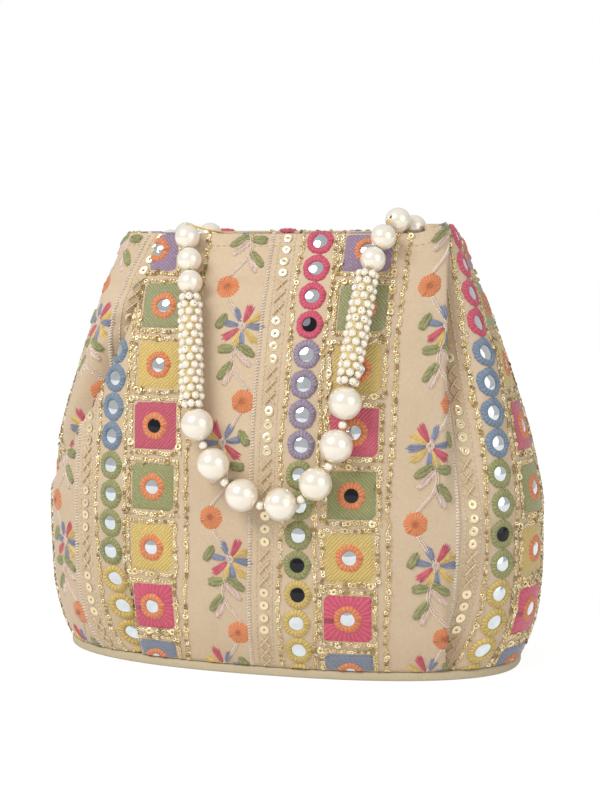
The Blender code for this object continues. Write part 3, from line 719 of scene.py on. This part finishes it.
def bands(*offsets):
    """Number of each repeat, and each band's offset and place at the base, clear of the seam at the back."""
    for index in range(-3, 4):
        for offset in offsets:
            place = MIRRORS_AT + REPEAT * index + offset
            if SEAM + 0.004 < place < SEAM + GIRTH - 0.004:
                yield index, offset, place


def leaning(s, m):
    """The bands lean a little towards the right fold as they rise."""
    return s + MIRRORS_LEAN * m


def sew(*pieces):
    for piece in pieces:
        piece.make()


def add_link(piece, links, big, share, s, m, lift, lean):
    """One small gold link, or now and then a big one, sewn on a little askew."""
    chosen = big if dice.random() < share else dice.choice(links)
    tone = dice.choice(GOLDS)
    piece.add(chosen, s, m, tone, 0.0, lift, tilted(lean), 0.15)


def make_mirrors():
    rings = Sewn("mirror_rings", THREAD)
    glasses = Sewn("mirrors", GLASS)
    dark_reflection_mirrors = Sewn("mirrors_painted_dark_reflection", DARK_REFLECTION_GLASS)
    shape = stitched_ring(RING_WIDE, RING_TALL, MIRROR - 0.0004, 34, 0.0012)
    glass = [dome(circle(0.5 * MIRROR, 14, 0.035, phase), 0.0003, 2, flat=0.8) for phase in (0.0, 1.3, 2.9)]
    # Mirrors, by band and row, that get the painted dark reflection
    dark_reflection_places = {(0, 4), (0, 3), (0, 12), (1, 5), (-2, 6), (2, 9), (3, 3)}
    for index, _, base in bands(0.0):
        cool = LAVENDER if index % 2 == 0 else BLUE
        for row in range(17):
            m = RING_FIRST + RING_PITCH * row
            s = leaning(base, m) + sway(0.0004)
            rings.add(shape, s, m, (YELLOW, GREEN, cool, PINK)[min(3, row // 4)], sway(0.2), 0.0002)
            place = dark_reflection_mirrors if (index, row) in dark_reflection_places else glasses
            tilt = tilted(0.05)
            place.add(dice.choice(glass), s, m, CREAM, dice.uniform(0, 3), 0.0006, tilt)
    sew(rings, glasses, dark_reflection_mirrors)


def square_field(grain):
    """Satin square; its threads turn round the middle or run along a diagonal."""
    steps = 10
    line = SQUARE * (np.arange(steps + 1) / steps - 0.5)
    x, y = [place.ravel() for place in np.meshgrid(line, line)]
    edge = np.maximum(np.abs(x), np.abs(y)) > 0.499 * SQUARE
    verts = np.column_stack([x, y, np.where(edge, -0.0001, 0.0005)])
    grains = {"radial": np.arctan2(y, x) * 0.006, "left": (x + y) * 0.7071, "right": (x - y) * 0.7071}
    return verts, triangles(lattice(steps + 1, steps + 1, False)), grains[grain]


def make_squares():
    fields = Sewn("satin_squares", SATIN)
    rings = Sewn("square_rings", THREAD)
    glasses = Sewn("square_mirrors", GLASS)
    dark_reflection_mirrors = Sewn("square_mirrors_painted_dark_reflection", DARK_REFLECTION_GLASS)
    frames = Sewn("square_frames", SEQUIN)
    ring = stitched_ring(0.0126, 0.0126, 0.0062, 30, 0.0010)
    glass = dome(circle(0.0033, 12, 0.05), 0.0003, 2, flat=0.8)
    colors = (GREY_BLUE, PINK, YELLOW, GREEN, ROSE, YELLOW, SAGE, MAUVE)
    grains = ("left", "radial", "right", "left", "right", "right", "left", "left")
    links = [ring_link(0.00105, 0.0004, 0.00035), ring_link(0.00085, 0.0003, 0.0004, 6)]
    big = ring_link(0.00165, 0.0006, 0.0004, 12)
    # Square mirrors, by band and row, that get the painted dark reflection
    dark_reflection_places = {(0, 3), (-1, 4), (1, 6), (2, 2)}
    for index, _, base in bands(SQUARES):
        for row in range(8):
            m = SQUARE_FIRST + SQUARE_PITCH * row
            s = leaning(base, m) + sway(0.0005)
            if (index, row) == (-1, 7):
                s -= BESIDE_PEARL
            turn = sway(0.035)
            fields.add(square_field(grains[row]), s, m, colors[row], turn)
            rings.add(ring, s, m, ORANGE, turn, 0.0005)
            place = dark_reflection_mirrors if (index, row) in dark_reflection_places else glasses
            place.add(glass, s, m, CREAM, dice.uniform(0, 3), 0.0009)
            for side in range(4):
                angle = turn + 0.5 * math.pi * side
                for step in range(16):
                    along = SQUARE_FRAME * (step / 16 - 0.5)
                    out = 0.5 * SQUARE_FRAME + sway(0.0005)
                    x = along * math.cos(angle) + out * math.sin(angle)
                    y = along * math.sin(angle) - out * math.cos(angle)
                    add_link(frames, links, big, 0.09, s + x, m + y, 0.0005, 0.5)
    sew(fields, rings, glasses, dark_reflection_mirrors, frames)


def make_chains():
    chain = Sewn("gold_chains", SEQUIN)
    links = [ring_link(0.0010, 0.0004, 0.00035, 6), ring_link(0.00085, 0.0003, 0.0004, 6)]
    big = ring_link(0.0014, 0.0005, 0.0004, 12)
    for _, _, base in bands(*CHAINS):
        phase = dice.uniform(0, 6)
        for m in np.arange(cloth.foot, cloth.end, STITCH_PITCH):
            s = leaning(base, m) + 0.0005 * math.sin(90.0 * m + phase)
            aside = 0.0004 if dice.random() < 0.5 else -0.0004
            add_link(chain, links, big, 0.035, s + aside, m, 0.0004, 0.6)
    sew(chain)


def strand_strip(points, width, height, pitch):
    """Ribbon of chain stitch along a path: alternating wide and narrow, crowned in the middle."""
    length = np.concatenate([[0.0], np.cumsum(np.hypot(*np.diff(points, axis=0).T))])
    count = max(4, int(length[-1] / pitch) * 2)
    at = np.linspace(0.0, length[-1], count + 1)
    middle = np.column_stack([np.interp(at, length, points[:, 0]), np.interp(at, length, points[:, 1])])
    side = outward(np.gradient(middle, axis=0))
    half = 0.5 * width * np.where(np.arange(count + 1) % 2 == 0, 0.72, 1.0)
    verts = []
    for share in (-1.0, -0.5, 0.0, 0.5, 1.0):
        rise = -0.0001 if abs(share) == 1.0 else height * (0.8 if share else 1.0)
        verts.append(at_height(middle + side * (half * share)[:, None], rise))
    return np.stack(verts, axis=1).reshape(-1, 3), triangles(lattice(count + 1, 5, False)), np.repeat(at, 5)


def straight_stitch(half, width, height, pitch):
    return strand_strip(np.array([(0.0, -half), (0.0, half)]), width, height, pitch)


def curve_points(points, per_span=8):
    """Smooth curve through given points."""
    points = [np.array(point, dtype=float) for point in points]
    padded = [2.0 * points[0] - points[1]] + points + [2.0 * points[-1] - points[-2]]
    out = []
    for k in range(1, len(padded) - 2):
        a, b, c, d = padded[k - 1:k + 3]
        for step in range(per_span):
            t = step / per_span
            out.append(0.5 * (2.0 * b + (c - a) * t + (2.0 * a - 5.0 * b + 4.0 * c - d) * t * t
                              + (3.0 * b - a - 3.0 * c + d) * t ** 3))
    out.append(points[-1])
    return np.array(out)


# One unit of the vine in mm, from its orange flower: x to the side that the big flower is on, y up
BIG_FLOWER = (9.0, -18.5)
VINE_STEM = (
    (1.0, -5.0), (4.5, -11.0), (9.0, -18.0), (7.0, -25.5),
    (5.6, -33.0), (7.5, -39.0), (12.0, -44.5), (14.0, -47.0),
)
# Leaves: x and y of the stalk, way in degrees, length and width in mm, colour
LEAVES = (
    (1.2, -12.5, 150.0, 8.5, 3.9, LEAF_GREEN), (6.6, -28.5, 96.0, 8.0, 4.4, LEAF_GREEN),
    (6.8, -26.5, 238.0, 12.0, 4.0, LEAF_GREEN), (6.6, -29.0, 224.0, 13.0, 3.8, BLUSH),
    (6.0, -34.5, 141.0, 12.0, 4.0, LEAF_GREEN), (6.4, -35.5, 158.0, 13.0, 3.8, BLUSH),
)
# Petals: way in degrees, colour, length in mm
PETALS = (
    (24.0, PETAL_BLUE, 8.6), (-24.0, PETAL_PINK, 10.2), (-58.0, PETAL_YELLOW, 9.4),
    (-92.0, PETAL_BLUE, 9.6), (-133.0, PETAL_YELLOW, 10.4), (-176.0, PETAL_BLUE, 8.6),
    (162.0, PETAL_YELLOW, 9.6), (128.0, PETAL_PINK, 10.2), (82.0, PETAL_BLUE, 8.4),
)


def add_petals(flowers, x, y, hand):
    """Big flower at (x, y): five strokes to a petal."""
    for angle, color, length in PETALS:
        angle = math.radians(hand * angle + sway(5))
        for k in range(-2, 3):
            way = angle + 0.085 * k + sway(0.02)
            start = 0.0013 + 0.0003 * abs(k)
            reach = length * 0.001 * (1.0 - 0.05 * abs(k) + dice.uniform(-0.05, 0.07))
            flowers.add(stroke(reach, 0.00125), x - start * math.sin(way), y + start * math.cos(way),
                        color, way, 0.0001 * (2 - abs(k)), None, 0.16)


def add_leaf(greens, x, y, angle, length, width, color):
    """Leaf whose stalk is at (x, y): nine pairs of strokes that lean out from its rib."""
    lift = 0.0002 if color == LEAF_GREEN else 0.0
    for k in range(9):
        along = length * (0.02 + 0.082 * k)
        half = 0.68 * width * math.sin(math.pi * min(1.0, 0.16 + 0.09 * k)) ** 0.7 + 0.0006
        for hand in (-1.0, 1.0):
            way = angle + hand * (0.66 - 0.055 * k + sway(0.05))
            greens.add(stroke(half * 1.35, 0.00105), x - along * math.sin(angle), y + along * math.cos(angle),
                       color, way, lift + 0.00003 * k, None, 0.14)


def make_vines():
    flowers = Sewn("vine_flowers", THREAD)
    greens = Sewn("vine_leaves", THREAD)
    stems = Sewn("vine_stems", THREAD)
    angles = angles_round(42)
    size = FLOWER * (0.93 + 0.07 * np.abs(np.sin(3.5 * angles)) + 0.025 * np.cos(21.0 * angles))
    round_flower = dome(np.column_stack([size * np.cos(angles), size * np.sin(angles)]), 0.0009, 3,
                        grain=lambda verts: np.arctan2(verts[:, 1], verts[:, 0]) * 0.0035)
    heart = ring_link(0.0011, 0.0005, 0.0004, 12)
    big_heart = ring_link(0.0019, 0.0008, 0.0007, 14)
    for _, _, base in bands(VINE):
        for unit in range(-1, 6):
            hand = 1.0 if unit % 2 else -1.0
            m = VINE_FIRST + VINE_PITCH * unit
            s = leaning(base, m) - VINE_SWING * hand + sway(0.0006)
            flowers.add(round_flower, s, m, ORANGE, dice.uniform(0, 1), 0.0001)
            flowers.add(heart, s, m, (0.82, 0.45, 0.27), 0.0, 0.0009)
            path = np.array([s, m]) + 0.001 * np.array([hand, 1.0]) * curve_points(VINE_STEM)
            for shift, color in ((-0.0005, THREAD_CREAM), (0.0005, BLUSH)):
                line = strand_strip(path + np.array([shift, 0.3 * shift]), 0.0011, 0.0006, 0.0013)
                stems.add(line, 0.0, 0.0, color)
            x = s + 0.001 * hand * BIG_FLOWER[0]
            y = m + 0.001 * BIG_FLOWER[1]
            add_petals(flowers, x, y, hand)
            flowers.add(big_heart, x, y, BLUSH, 0.0, 0.0003)
            for x, y, angle, length, width, color in LEAVES:
                add_leaf(greens, s + 0.001 * hand * x, m + 0.001 * y, hand * math.radians(angle),
                         0.001 * length, 0.001 * width, color)
    sew(flowers, greens, stems)


def make_braids():
    braid = Sewn("cream_braid", THREAD)
    strip = Sewn("cross_stitch_strip", THREAD)
    sequins = Sewn("cream_sequins", SEQUIN)
    twist = dome(circle(1.0, 8) * (0.00125, 0.0007), 0.0010, 2)
    disc = ring_link(0.0022, 0.0005, 0.0003, 14)
    cross = straight_stitch(0.0034, 0.0009, 0.0006, 0.0012)
    edge = straight_stitch(0.0008, 0.0007, 0.0004, 0.0008)
    for _, band, base in bands(BRAID, STRIP):
        if band == BRAID:
            for m in np.arange(cloth.foot, cloth.end, STITCH_PITCH):
                braid.add(twist, leaning(base, m), m, THREAD_CREAM, 0.62, 0.0001)
            continue
        for row, m in enumerate(np.arange(cloth.foot + 0.002, cloth.end, STRIP_PITCH)):
            s = leaning(base, m)
            if row % 7 in (0, 1, 2):
                strip.add(cross, s, m, (0.97, 0.88, 0.70), 0.72, 0.0003)
                strip.add(cross, s, m, (0.97, 0.88, 0.70), -0.72, 0.0006)
            else:
                sequins.add(disc, s, m, (0.93, 0.86, 0.70), 0.0, 0.0004, tilted(0.15), 0.06)
        for side in (-STRIP_EDGE, STRIP_EDGE):
            for m in np.arange(cloth.foot, cloth.end, 0.0021):
                strip.add(edge, leaning(base + side, m), m, (0.98, 0.90, 0.75), sway(0.3))
    sew(braid, strip, sequins)


def cloth_columns():
    """Places along the cloth: close together in the folds and spread out between them."""
    fine = []
    for z in (0.0, BELLY_HEIGHT + 0.001, BAG_HEIGHT):
        for place, _, _ in pleats(z):
            fine.append((place - 0.024, place + 0.024))
    fine.append((GIRTH + FRONT_LEFT_FOLD - 0.085, GIRTH + FRONT_LEFT_FOLD))
    places = []
    at = 0.0
    while at < GIRTH - 0.0004:
        places.append(at)
        near = any(low <= at <= high for low, high in fine)
        at += 0.00085 if near else 0.0026
    return np.array(places)


def make_wall():
    """The embroidered cloth with its backing: outside, rim, and the inner face down to the base."""
    places = cloth_columns()
    outside = np.concatenate([[cloth.foot], np.arange(cloth.foot + 0.002, FINE_ROWS_FROM, 0.0026),
                              np.arange(FINE_ROWS_FROM, cloth.rim - 0.0085, 0.0011),
                              np.arange(cloth.rim - 0.0076, cloth.rim, 0.0009), [cloth.rim]])
    over = cloth.rim + cloth.over * HEM_TURN
    facing = np.linspace(cloth.rim + 2.0 * cloth.over, cloth.end, 9)[1:]
    rows = [cloth.at(places, np.full(len(places), m), np.zeros(len(places)))
            for m in np.concatenate([outside, over, facing])]
    lowest = BAG_HEIGHT - FACING_DEPTH * FACING_SLOPE
    for z in np.linspace(lowest, FOOT, 26)[1:]:
        middle, normal = Section(float(z)).faces(places)
        soft = creases(places, np.interp(z, cloth.heights, cloth.rise))
        rows.append(at_height(middle + (soft - 0.5 * WALL)[:, None] * normal, z))
    count = len(places)
    last = (len(rows) - 1) * count
    closing = [[last + k, last + (k + 1) % count, (k + 1) % count, k] for k in range(count)]
    faces = np.vstack([lattice(len(rows), count), closing])
    wall = make_piece("embroidered_wall", GEORGETTE, np.vstack(rows), faces)
    return dress(wall, "bag", "outer_shell")


def make_hem():
    """Machine stitches along the turned hem."""
    stitches = Sewn("hem_stitches", THREAD)
    shape = hem_stitch()
    for s in np.arange(0.0, GIRTH - 0.002, 0.0029):
        stitches.add(shape, s, cloth.rim - 0.0052, (0.90, 0.79, 0.64), -0.5 * math.pi)
    sew(stitches)


def make_lining():
    """Thin bag inside the wall, with soft vertical slack."""
    count = 220
    top = BAG_HEIGHT - FACING_DEPTH
    heights = np.linspace(FOOT + 0.0003, top, 46)
    near = []
    lines = []
    for z in heights:
        section = Section(float(z))
        total = section.outline[2][-1]
        along = np.arange(count) * total / count
        depth = []
        for at in along:
            apart = np.abs(np.mod(section.forward - at + 0.5 * total, total) - 0.5 * total)
            depth.append(max(0.0, float(section.inward[apart < 0.009].max())))
        near.append(depth)
        lines.append((along, *on_oval(section.outline, along)))
    padded = np.pad(np.array(near), ((3, 3), (0, 0)), mode="edge")
    near = np.max([padded[k:k + len(heights)] for k in range(7)], axis=0)
    kernel = np.ones(9) / 9.0
    outer = []
    inner = []
    for (along, point, normal), row, z in zip(lines, near, heights):
        depth = np.convolve(np.concatenate([row[-4:], row, row[:4]]), kernel, "valid")
        share = float(smoothstep((z - FOOT) / 0.05)) * float(smoothstep((top - z) / 0.02))
        soft = 0.0007 * share * (1.0 + np.sin(along * 210.0 + 30.0 * z)) * (1.0 + 0.5 * math.sin(80.0 * z))
        inset = (depth + 0.5 * WALL + LINING_GAP + soft)[:, None]
        outer.append(at_height(point - inset * normal, z))
        inner.append(at_height(point - (inset + LINING) * normal, z))
    inner[0][:, 2] += LINING
    finish = plain_cloth("lining_weave", (0.86, 0.79, 0.66), (0.92, 0.86, 0.74), 700.0, 0.3)
    made = make_capped("lining_cloth", finish, outer + inner[::-1], heights[0], heights[0] + LINING)
    return dress(made, "bag", "lining")


def make_base():
    """Plain edge band and underside, with the seam's shadow line where the wall is sewn on."""
    outline = oval(*outline_size(FOOT))
    count = 260
    point, normal = on_oval(outline, np.arange(count) * outline[2][-1] / count)
    profile = [(-0.030, 0.0)]
    bend = TRAY_ROUND * (1.0 - np.sin(0.5 * math.pi * np.arange(6) / 5))
    drop = TRAY_ROUND * (1.0 - np.cos(0.5 * math.pi * np.arange(6) / 5))
    profile += list(zip(TRAY_PROUD - bend, drop)) + list(zip(TRAY_PROUD - drop, TRAY_HEIGHT - bend))
    profile += [(-0.0010, TRAY_HEIGHT), (-0.0030, TRAY_HEIGHT), (-0.0030, TRAY_FLOOR), (-0.030, TRAY_FLOOR)]
    rows = [at_height(point + out * normal, z) for out, z in profile]
    finish = plain_cloth("base_weave", (0.74, 0.68, 0.56), (0.80, 0.74, 0.62), 800.0, 0.3)
    dress(make_capped("base_band", finish, rows, 0.0, TRAY_FLOOR), "bag", "base_cover")


def turn_to(way):
    return np.array(Vector((0.0, 0.0, 1.0)).rotation_difference(Vector(way)).to_matrix()).T


def ball(centre, way, radius, segments, rings, bore):
    """Round bead with the rim of its bore turned in."""
    start = math.asin(min(0.9, 0.5 * bore / radius))
    sink = math.cos(start) * radius - 0.6 * bore
    angles = np.linspace(start, math.pi - start, rings)
    arc = list(zip(radius * np.sin(angles), radius * np.cos(angles)))
    profile = [(0.45 * bore, sink)] + arc + [(0.45 * bore, -sink)]
    return turned(profile, segments) @ turn_to(way) + centre, lattice(len(profile), segments)[:, ::-1]


def middle_of(node):
    low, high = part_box(node)
    return 0.5 * (np.array(low) + np.array(high))


def make_bead(node, way, diameter, body, segments, rings):
    verts, faces = ball(middle_of(node), way, 0.5 * diameter, segments, rings, BORE)
    dress(make_piece(f"{node}_lacquered", PEARL, verts, faces), body, node)


def rope_way(node):
    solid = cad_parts[node]
    verts = np.array([solid.matrix_world @ v.co for v in solid.data.vertices])
    way = np.linalg.svd(verts - verts.mean(axis=0), full_matrices=False)[2][0]
    return way if way[2] < 0 else -way


def make_rope(number):
    """Rope of small pearls netted round a thread core: rows of six, each row turned half a step."""
    node = f"bead_rope_{number}"
    centre = middle_of(node)
    turn = turn_to(rope_way(node))
    out = 0.5 * (ROPE_DIAMETER - ROPE_BEAD) - 0.0001
    verts = []
    faces = []
    for row in range(ROPE_ROWS):
        height = (ROPE_LENGTH - ROPE_BEAD) * (row / (ROPE_ROWS - 1) - 0.5)
        reach = out - (0.0006 if row in (0, ROPE_ROWS - 1) else 0.0)
        for k in range(ROPE_AROUND):
            angle = 2.0 * math.pi * (k + 0.5 * (row % 2)) / ROPE_AROUND + sway(0.05)
            place = np.array([reach * math.cos(angle), reach * math.sin(angle), height])
            way = (sway(1), sway(1), sway(1))
            size = 0.5 * ROPE_BEAD * dice.uniform(0.95, 1.03)
            points, quads = ball(place, way, size, 14, 9, 0.0006)
            faces.append(quads + len(verts) * len(points))
            verts.append(points)
    beads = make_piece(f"rope_pearls_{number}", PEARL, np.vstack(verts) @ turn + centre, np.vstack(faces))
    dress(beads, "handle_loop", node)
    segments = 36
    steps = 120
    angles = angles_round(segments)
    profile = []
    for step in range(steps + 1):
        height = (ROPE_LENGTH - 0.003) * (step / steps - 0.5)
        ridge = np.maximum(np.cos(6.0 * angles + 420.0 * height), np.cos(6.0 * angles - 420.0 * height))
        end = min(1.0, 10.0 * min(step, steps - step) / steps + 0.2)
        profile.append(((0.0037 + 0.0005 * ridge) * end, height))
    core = turned(profile, segments)
    grain = np.tile(0.004 * angles, steps + 1) + core[:, 2]
    tint = np.tile(linear((0.98, 0.88, 0.60)), (len(core), 1))
    faces = lattice(steps + 1, segments)
    net = make_piece(f"rope_net_{number}", THREAD, core @ turn + centre, faces, tint, grain)
    dress(net, "handle_loop")


def make_handle():
    loop = [f"front_pearl_{k}" for k in (1, 2, 3)] + ["bead_rope_1", "large_pearl_1"]
    for k in range(1, 7):
        loop += [f"spacer_pearl_{k}", f"large_pearl_{k + 1}"]
    loop += ["bead_rope_2", "front_pearl_4", "front_pearl_5"]
    left = [f"mouth_pearl_left_{k}" for k in (1, 2, 3, 4)]
    right = [f"mouth_pearl_right_{k}" for k in (1, 2, 3)]
    sizes = {"large": (LARGE_PEARL, 48, 25), "front": (MEDIUM_PEARL, 40, 21),
             "mouth": (MEDIUM_PEARL, 40, 21), "spacer": (SPACER_PEARL, 24, 13)}
    for row, body in ((loop, "handle_loop"), (left, "handle_upper"), (right, "handle_upper")):
        for before, node, after in zip(row[:1] + row, row, row[1:] + row[-1:]):
            if not node.startswith("bead_rope"):
                diameter, segments, rings = sizes[node.split("_")[0]]
                make_bead(node, middle_of(after) - middle_of(before), diameter, body, segments, rings)
    make_rope(1)
    make_rope(2)


def finish_nodes():
    """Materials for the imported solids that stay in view."""
    thread = Finish("gold_nylon", Roughness=0.45)
    wave = thread.noise(1600.0)
    thread.color(thread.mix(wave, (0.86, 0.68, 0.30), (0.96, 0.84, 0.52)))
    thread.bumped(wave, 0.5, 0.0002)
    strap = plain_cloth("tab_weave", (0.78, 0.70, 0.56), (0.84, 0.76, 0.62), 800.0, 0.4)
    board = plain_cloth("board_fiber", (0.56, 0.52, 0.46), (0.64, 0.60, 0.53), 300.0, 0.2)
    chosen = {"string": thread.material, "handle": strap, "base": board, "seam": BRASS, "snap": BRASS}
    for name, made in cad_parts.items():
        kind = name.split("_")[0]
        if kind in chosen and name != "base_cover":
            for slot in made.material_slots:
                slot.material = chosen[kind]


# Camera, floor and light
CAMERA_TURN = math.radians(15.0)
CAMERA_DISTANCE = 0.760
CAMERA_HEIGHT = 0.198
CAMERA_SIDE = 0.004
CAMERA_PITCH = math.radians(5.83)
FOCAL_PIXELS = 1605.0
IMAGE_WIDTH = 600.0
SENSOR = 36.0
LAMP_TARGET = (0.0, 0.0, 0.10)


def aim(name, data, place, look):
    made = bpy.data.objects.new(name, data)
    made.location = place
    made.rotation_euler = look.to_track_quat("-Z", "Y").to_euler()
    bpy.context.scene.collection.objects.link(made)
    return made


def make_camera():
    data = bpy.data.cameras.new("camera")
    data.sensor_fit = "HORIZONTAL"
    data.sensor_width = SENSOR
    data.lens = FOCAL_PIXELS * SENSOR / IMAGE_WIDTH
    data.clip_start = 0.01
    right = Vector((math.cos(CAMERA_TURN), math.sin(CAMERA_TURN), 0.0))
    ahead = Vector((-math.sin(CAMERA_TURN), math.cos(CAMERA_TURN), 0.0))
    up = Vector((0.0, 0.0, 1.0))
    look = ahead * math.cos(CAMERA_PITCH) - up * math.sin(CAMERA_PITCH)
    camera = aim("camera", data, right * CAMERA_SIDE + up * CAMERA_HEIGHT - ahead * CAMERA_DISTANCE, look)
    bpy.context.scene.camera = camera


def make_floor():
    size = 6.0
    corners = [(-size, -size, -0.0002), (size, -size, -0.0002), (size, size, -0.0002), (-size, size, -0.0002)]
    made = Finish("white_floor", Roughness=0.9, Base_Color=(0.86, 0.86, 0.86, 1.0))
    glow = made.add("ShaderNodeEmission", Strength=1.22)
    path = made.add("ShaderNodeLightPath")
    seen = made.math("MAXIMUM", path.outputs["Is Camera Ray"], path.outputs["Is Glossy Ray"])
    blend = made.add("ShaderNodeMixShader")
    made.join(made.math("MULTIPLY", seen, 0.72), blend.inputs["Fac"])
    made.join(made.shader.outputs[0], blend.inputs[1])
    made.join(glow.outputs[0], blend.inputs[2])
    made.join(blend.outputs[0], made.tree.nodes["Material Output"].inputs["Surface"])
    make_piece("floor", made.material, corners, [[0, 1, 2, 3]])


def lamp(name, place, size, power):
    data = bpy.data.lights.new(name, "AREA")
    data.shape = "DISK"
    data.size = size
    data.energy = power
    aim(name, data, place, Vector(LAMP_TARGET) - Vector(place))


def make_light():
    world = bpy.data.worlds.new("studio")
    bpy.context.scene.world = world
    world.use_nodes = True
    made = Wiring(world.node_tree)
    back = made.tree.nodes["Background"]
    back.inputs["Color"].default_value = (1.0, 1.0, 1.0, 1.0)
    path = made.add("ShaderNodeLightPath")
    glossy = made.math("MULTIPLY", path.outputs["Is Glossy Ray"], 0.25)
    level = made.add("ShaderNodeMapRange", To_Min=0.50, To_Max=1.0)
    made.join(made.math("MAXIMUM", path.outputs["Is Camera Ray"], glossy), level.inputs["Value"])
    made.join(level.outputs[0], back.inputs["Strength"])
    lamp("key", (-0.55, -0.95, 1.05), size=0.8, power=11.5)
    lamp("fill", (1.1, -0.7, 0.55), size=1.2, power=3.5)


make_camera()
make_floor()
make_light()
wall = make_wall()
make_mirrors()
make_squares()
make_chains()
make_vines()
make_braids()
make_hem()
lining = make_lining()
make_base()
make_handle()
finish_nodes()
bpy.context.scene.view_settings.view_transform = "Standard"
